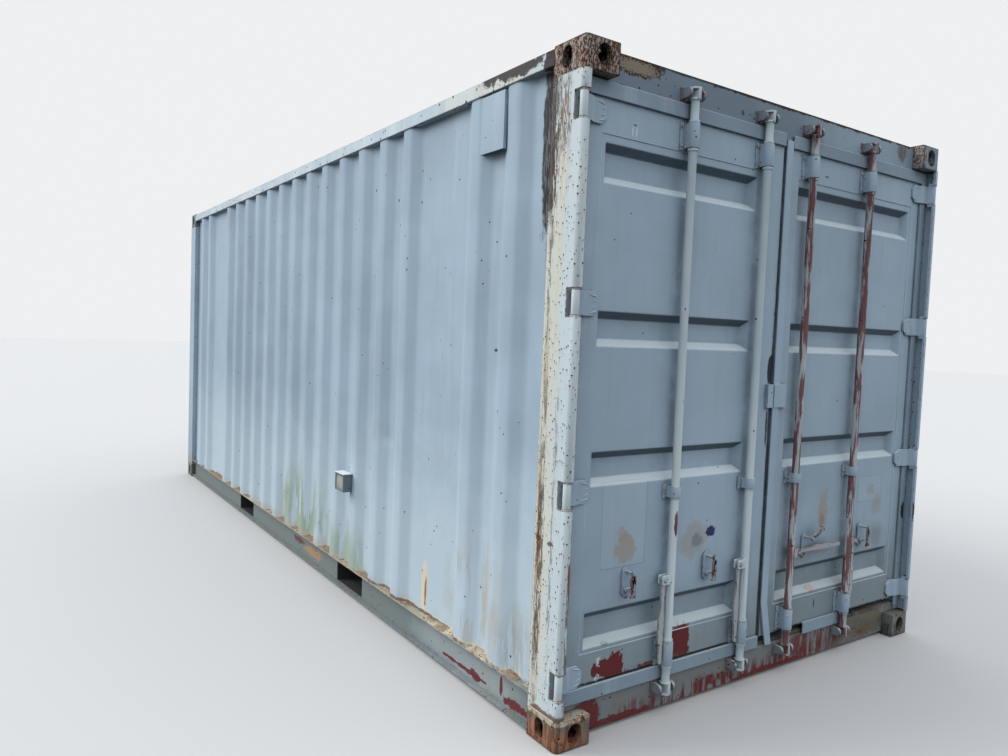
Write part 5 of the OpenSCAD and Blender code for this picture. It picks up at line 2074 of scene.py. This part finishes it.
    return {
        # The pale coat rising from the left wall's foot is painted light: the wall is lighter towards the
        # bottom.
        "left wall": PaintedSteel(
            "left_wall_paint", fade=0.42, dots=0.03, edge_rust=0.04, tide=1.25, tide_tone=Tone.PAINT_LIGHT,
            tide_cover=0.85, corner_shade_and_dirt=0.45, marks=WALL_MARKS, front=FACING_LEFT,
        ),
        "plain wall": PaintedSteel(
            "wall_paint", fade=0.45, dots=0.05, edge_rust=0.1, tide=0.34, tide_tone=Tone.SAND,
        ),
        "left door": PaintedSteel(
            "left_door_paint", fade=0.22, dots=0.012, dot_run=0.02, edge_rust=0.06, tide=0.62,
            tide_tone=Tone.GREEN_GREY, tide_cover=0.62, painted_shade=0.8, dust=0.5, marks=left_door_marks(),
            front=FACING_OUT,
        ),
        "right door": PaintedSteel(
            "right_door_paint", fade=0.22, dots=0.012, dot_run=0.02, edge_rust=0.06, tide=0.70,
            tide_tone=Tone.GREEN_GREY, tide_cover=0.7, painted_shade=0.8, dust=0.5, marks=right_door_marks(),
            front=FACING_OUT,
        ),
        "frame": PaintedSteel("frame_paint", fade=0.3, chips=0.12, dots=0.3, rust=0.08, edge_rust=0.5),
        "header": PaintedSteel(
            "header_paint", coat=Tone.SHADE, deep=Tone.SHADE, faded=Tone.PAINT_DEEP, fade=0.2, runs=0.06,
            dots=0.15, edge_rust=0.45, marks=header_marks,
        ),
        "sill": PaintedSteel(
            "sill_paint", coat=Tone.GALVANISED, deep=Tone.GREEN_GREY, faded=Tone.SLATE, fade=0.35,
            dots=0.35, rust=0.12, edge_rust=0.7, marks=sill_marks,
        ),
        "faded post": PaintedSteel(
            "faded_post_paint", coat=Tone.POST_PALE, deep=Tone.PAINT_LIGHT, faded=Tone.CHALK, fade=0.35,
            runs=0.3, dots=0.46, dot_size=0.0031, dot_share=0.25, dot_run=0.05, edge_rust=0.75, corner_shade_and_dirt=0.4,
            marks=post_marks,
        ),
        "right post": PaintedSteel(
            "right_post_paint", coat=Tone.PAINT, deep=Tone.PAINT_DEEP, dots=0.25, edge_rust=0.5, drips=0.2,
            marks=torn, front=FACING_OUT,
        ),
        "front post": PaintedSteel(
            "front_post_paint", fade=0.3, dots=0.25, edge_rust=0.6, drips=0.3, tide=0.3,
        ),
        "seal": PaintedSteel(
            "seal_paint", coat=Tone.PAINT_DEEP, deep=Tone.SHADE, dots=0.04, edge_rust=0.12, gloss=0.55,
            painted_shade=0.4, dust=0.3, marks=torn, front=FACING_OUT,
        ),
        "bright seal": PaintedSteel(
            "strip_paint", deep=Tone.PAINT_DEEP, fade=0.3, dots=0.06, edge_rust=0.2,
        ),
        "hinge": PaintedSteel(
            "hinge_paint", deep=Tone.PAINT_DEEP, fade=0.35, dots=0.06, edge_rust=0.25, painted_shade=0.4, dust=0.3,
            marks=knuckles,
        ),
        "bracket": PaintedSteel(
            "bracket_paint", deep=Tone.PAINT_DEEP, faded=Tone.STONE, fade=0.45, chips=0.06, dots=0.3,
            dot_size=0.003, edge_rust=0.45, painted_shade=0.5, dust=0.3, corner_shade_and_dirt=0.7,
        ),
        # Rods 1 and 2 get a paler coat than the doors, partly painted light for the light on their left
        # sides.
        "rod": PaintedSteel(
            "rod_paint", coat=Tone.POST_PALE, deep=Tone.PAINT, faded=Tone.CHALK, fade=0.4, dots=0.08,
            edge_rust=0.3,
            marks=end_marks((Tone.PRIMER, -0.631, 0.79, 0.010, 0.055, 0.95, 1.2, 30, 2, 0.2)),
        ),
        "worn rod": PaintedSteel(
            "worn_rod_paint", coat=Tone.STONE, deep=Tone.MAUVE, faded=Tone.CHALK, fade=0.5, dots=0.15,
            peel=0.60, edge_rust=0.3, corner_shade_and_dirt=0.3,
        ),
        "handle": PaintedSteel(
            "handle_paint", coat=Tone.STONE, deep=Tone.MAUVE, faded=Tone.CHALK, fade=0.45, chips=0.22,
            dots=0.6, dot_size=0.004, edge_rust=0.7, painted_shade=0.4,
        ),
        "keeper": PaintedSteel(
            "keeper_paint", coat=Tone.SLATE, deep=Tone.SHADE, faded=Tone.STONE, fade=0.35, chips=0.14,
            dots=0.5, rust=0.34, edge_rust=0.75, painted_shade=0.4, dust=0.3, corner_shade_and_dirt=0.8,
        ),
        "casting": RustySteel(
            "casting_rust", left=0.55, tint=0.65, even=Tone.UMBER, pale=Tone.STONE, scale=190.0, tall=2.6,
            sky_dirt=0.9, edges=0.75,
            marks=(
                Mark(Tone.PAINT_DEEP, (2.95, 1.19, 2.53), (0.2, 0.13, 0.13), 0.8, 2.6, 50.0, 5.0, 0.15),
                Mark(Tone.PAINT_DEEP, (-2.95, 0, 2.53), (0.2, FREE, 0.2), 0.6, 2.6, 30.0, 5.0, 0.2),
            ),
        ),
        "foot casting": PaintedSteel(
            "foot_casting_paint", coat=Tone.GREEN_GREY, deep=Tone.SLUDGE, faded=Tone.BONE, fade=0.45,
            dots=0.5, rust=0.42, edge_rust=0.8, drips=0.4, corner_shade_and_dirt=0.7, hollow=True, marks=cast_marks,
        ),
        "pin": RustySteel("pin_rust", left=0.4, tint=0.3, pale=Tone.PAINT_LIGHT),
        "catch": PaintedSteel(
            "catch_paint", coat=Tone.SLATE, deep=Tone.MAUVE, faded=Tone.STONE, fade=0.4, chips=0.52,
            dots=0.5, rust=0.3, edge_rust=0.7, painted_shade=0.4, dust=0.3,
        ),
        "bolt": PaintedSteel(
            "bolt_paint", deep=Tone.SLATE, faded=Tone.STONE, fade=0.4, chips=0.2, dots=0.3, dot_size=0.002,
            edge_rust=0.45, corner_shade_and_dirt=0.95,
        ),
        "underframe": PaintedSteel(
            "underframe_coat", coat=Tone.UNDERSIDE, deep=Tone.SOOT_AND_SHADE, faded=Tone.DIRT, dots=0.2, rust=0.1,
            edge_rust=0.4, gloss=0.8,
        ),
        "boards": FloorBoards(),
        "dirt": LooseDirt(),
        "lamp": PaintedSteel(
            "lamp_enamel", coat=Tone.LAMP_BOX, deep=Tone.SHADE, faded=Tone.SLATE, fade=0.3, dots=0.1,
            edge_rust=0.4,
            marks=(
                Mark(Tone.LAMP_LID, (1.05, -1.24, 0.708), (FREE, FREE, 0.0034), 0.95, 0.0, 10.0, 8.0, 0.05),
            ),
        ),
        "pane": LampPane(),
        "bottom rail": PaintedSteel(
            "bottom_rail_paint", coat=Tone.GREEN_GREY, deep=Tone.SHADE, faded=Tone.GALVANISED, fade=0.3,
            dots=0.3, edge_rust=0.5, drips=0.2, marks=scratches,
        ),
        "top rail": PaintedSteel(
            "top_rail_paint", coat=Tone.PAINT_LIGHT, deep=Tone.PAINT_LIGHT, faded=Tone.CHALK, fade=0.75,
            dots=0.6, dot_size=0.006, rust=0.06, edge_rust=0.8, painted_shade=0.4, marks=rail_rust,
        ),
        "roof": PaintedSteel(
            "roof_paint", coat=Tone.PAINT, faded=Tone.CHALK, fade=0.4, dots=0.4, dot_size=0.006, rust=0.34,
            edge_rust=0.4, drips=0.3, corner_shade_and_dirt=0.7,
        ),
        "bead": PaintedSteel("bead_paint", coat=Tone.PAINT_LIGHT, fade=0.3, dots=0.05, edge_rust=0.1),
        "crust": PaintedSteel(
            "crust_paint", coat=Tone.CREAM, deep=Tone.SAND, faded=Tone.CHALK, dots=0.3, rust=0.3,
            edge_rust=0.3,
        ),
    }


RODS = (-0.631, -0.165, 0.165, 0.631)
BEARINGS = (0.256, 2.340)
GUIDE = 0.922
PIVOT = 0.567
CATCHES = (-0.850, -0.381, 0.312, 0.787)
BRACKET_FACE = 2.974
PLATE_BOLT_Y = 0.0345
PLATE_BOLT_Z = (-0.037, 0.037)
GUIDE_BOLT_Y = 0.031
CATCH_BOLT_Z = 0.530
CATCH_PIN_FACE = 3.0205
CATCH_PIN_Z = 0.620
HUB_FACE = 3.017
HUB_Y = 0.042
PANEL_X = 2.9675
SEAMS = (0.324, 2.283)


def lock_bolts(coats: dict[str, Finish]) -> None:
    """Places the bolts of the lock gear.

    Args:
        coats: The finishes.
    """
    for body, rods in (("left_door", (0, 1)), ("right_door", (2, 3))):
        plates: list[Point] = []
        for i in rods:
            corners = [(s * PLATE_BOLT_Y, z + up) for z in BEARINGS for s in (-1, 1) for up in PLATE_BOLT_Z]
            plates += [(BRACKET_FACE, RODS[i] + y, z) for y, z in corners]
            plates += [(BRACKET_FACE, RODS[i] + s * GUIDE_BOLT_Y, GUIDE) for s in (-1, 1)]
            plates += [(BRACKET_FACE, CATCHES[i], CATCH_BOLT_Z)]
        Bolts(f"{body}_plate_bolts", body, coats["bolt"], tuple(plates), 0.0058, 0.0055).build()
        pins = tuple((CATCH_PIN_FACE, CATCHES[i], CATCH_PIN_Z) for i in rods)
        Bolts(f"{body}_catch_pins", body, coats["bolt"], pins, 0.0070, 0.0045, 16).build()
    for i, rod in enumerate(RODS):
        side = -1 if i < 2 else 1
        hub = ((HUB_FACE, rod + side * HUB_Y, PIVOT),)
        Bolts(f"handle_hub_{i + 1}", f"lock_rod_{i + 1}", coats["bolt"], hub, 0.0085, 0.006).build()


def welds(coats: dict[str, Finish]) -> None:
    """Places the weld beads.

    Args:
        coats: The finishes.
    """
    for name, side in (("left", -1), ("right", 1)):
        near, far = side * 0.100, side * 1.075
        lines = tuple(((PANEL_X, near, z), (PANEL_X, far, z)) for z in SEAMS)
        lines += tuple(((PANEL_X, y, SEAMS[0]), (PANEL_X, y, SEAMS[1])) for y in (near, far))
        WeldBeads(f"{name}_door_beads", f"{name}_door", coats["bead"], lines, 0.0026).build()
        beads = (("foot", 0.1185, "crust", 0.0045), ("head", 2.4725, "faded post", 0.0032))
        for end, z, coat, radius in beads:
            ring = (
                (2.853, side * 1.2165, z),
                (3.006, side * 1.2165, z),
                (3.020, side * 1.2105, z),
                (3.0265, side * 1.197, z),
                (3.0265, side * 1.186, z),
            )
            WeldBeads(f"{name}_post_{end}_bead", "root", coats[coat], (ring,), radius).build()
        StrapCreases(f"{name}_hinge_creases", f"{name}_door", coats["hinge"], side).build()


def main() -> None:
    """Builds the container's looks piece by piece."""
    logging.basicConfig(level=logging.INFO, format="%(name)s: %(message)s")
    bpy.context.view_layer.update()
    coats = finishes()
    Studio().build()
    wall_dents = (
        Dent(1.47, 0.95, 0.09, 0.07, 0.006),
        Dent(2.02, 0.62, 0.12, 0.10, 0.008),
        Dent(2.46, 1.42, 0.03, 0.10, 0.004),
        Dent(2.66, 1.02, 0.08, 0.16, 0.007),
        Dent(1.93, 0.30, 0.04, 0.12, 0.008),
        Dent(2.30, 0.42, 0.05, 0.09, 0.005),
    )
    walls = (
        CorrugatedWall("left_wall_sheet", "left_wall", coats["left wall"], -1, 11, dents=wall_dents),
        CorrugatedWall("right_wall_sheet", "right_wall", coats["plain wall"], 1, 23),
    )
    for wall, seed in zip(walls, (5, 9)):
        wall.build()
        LedgeDirt(f"{wall.node}_ledge_dirt", wall, coats["dirt"], seed=seed).build()
    PressedDoor("left_door_sheet", "left_door_panel", "left_door", coats["left door"], -1, 0.180, 31).build()
    right_paint = coats["right door"]
    PressedDoor("right_door_sheet", "right_door_panel", "right_door", right_paint, 1, 0.112, 37).build()
    for coat, nodes, *rounding in (
        ("casting", ("top_castings",), 0.009, 4),
        ("foot casting", ("bottom_castings",), 0.009, 4),
        ("faded post", ("left_door_post",)),
        ("right post", ("right_door_post",)),
        ("front post", ("front_posts",)),
        ("pin", ("hinge_pins",)),
        ("header", ("door_header",)),
        ("sill", ("door_sill",)),
        ("frame", ("front_top_rail", "front_bottom_rail")),
        ("keeper", ("cam_keepers",)),
        ("top rail", ("top_side_rails",), 0.003),
        ("bottom rail", ("bottom_side_rails",), 0.0015),
        ("plain wall", ("front_wall", "ventilators"), 0.0015),
        ("roof", ("roof_panel",), 0.0005),
        ("boards", ("floor_boards",), 0.001),
        ("underframe", ("cross_members", "fork_pockets"), 0.001),
        ("lamp", ("wall_lamp",)),
        ("left door", ("left_door_frame",)),
        ("right door", ("right_door_frame",)),
        ("seal", ("left_door_seal", "right_door_seal"), 0.008, 4),
        ("bright seal", ("centre_strip",), 0.003, 3),
        ("hinge", ("left_door_hinges", "right_door_hinges")),
        ("bracket", ("left_lock_brackets", "right_lock_brackets")),
        ("rod", ("lock_rod_1", "lock_rod_2")),
        ("worn rod", ("lock_rod_3", "lock_rod_4")),
        ("handle", tuple(f"handle_{i}" for i in range(1, 5))),
        ("catch", tuple(f"catch_{i}" for i in range(1, 5)), 0.0015),
    ):
        Dressing(coats[coat], nodes, *rounding).build()
    lock_bolts(coats)
    welds(coats)
    LampGlass(coats["pane"]).build()


if __name__ == "__main__":
    main()
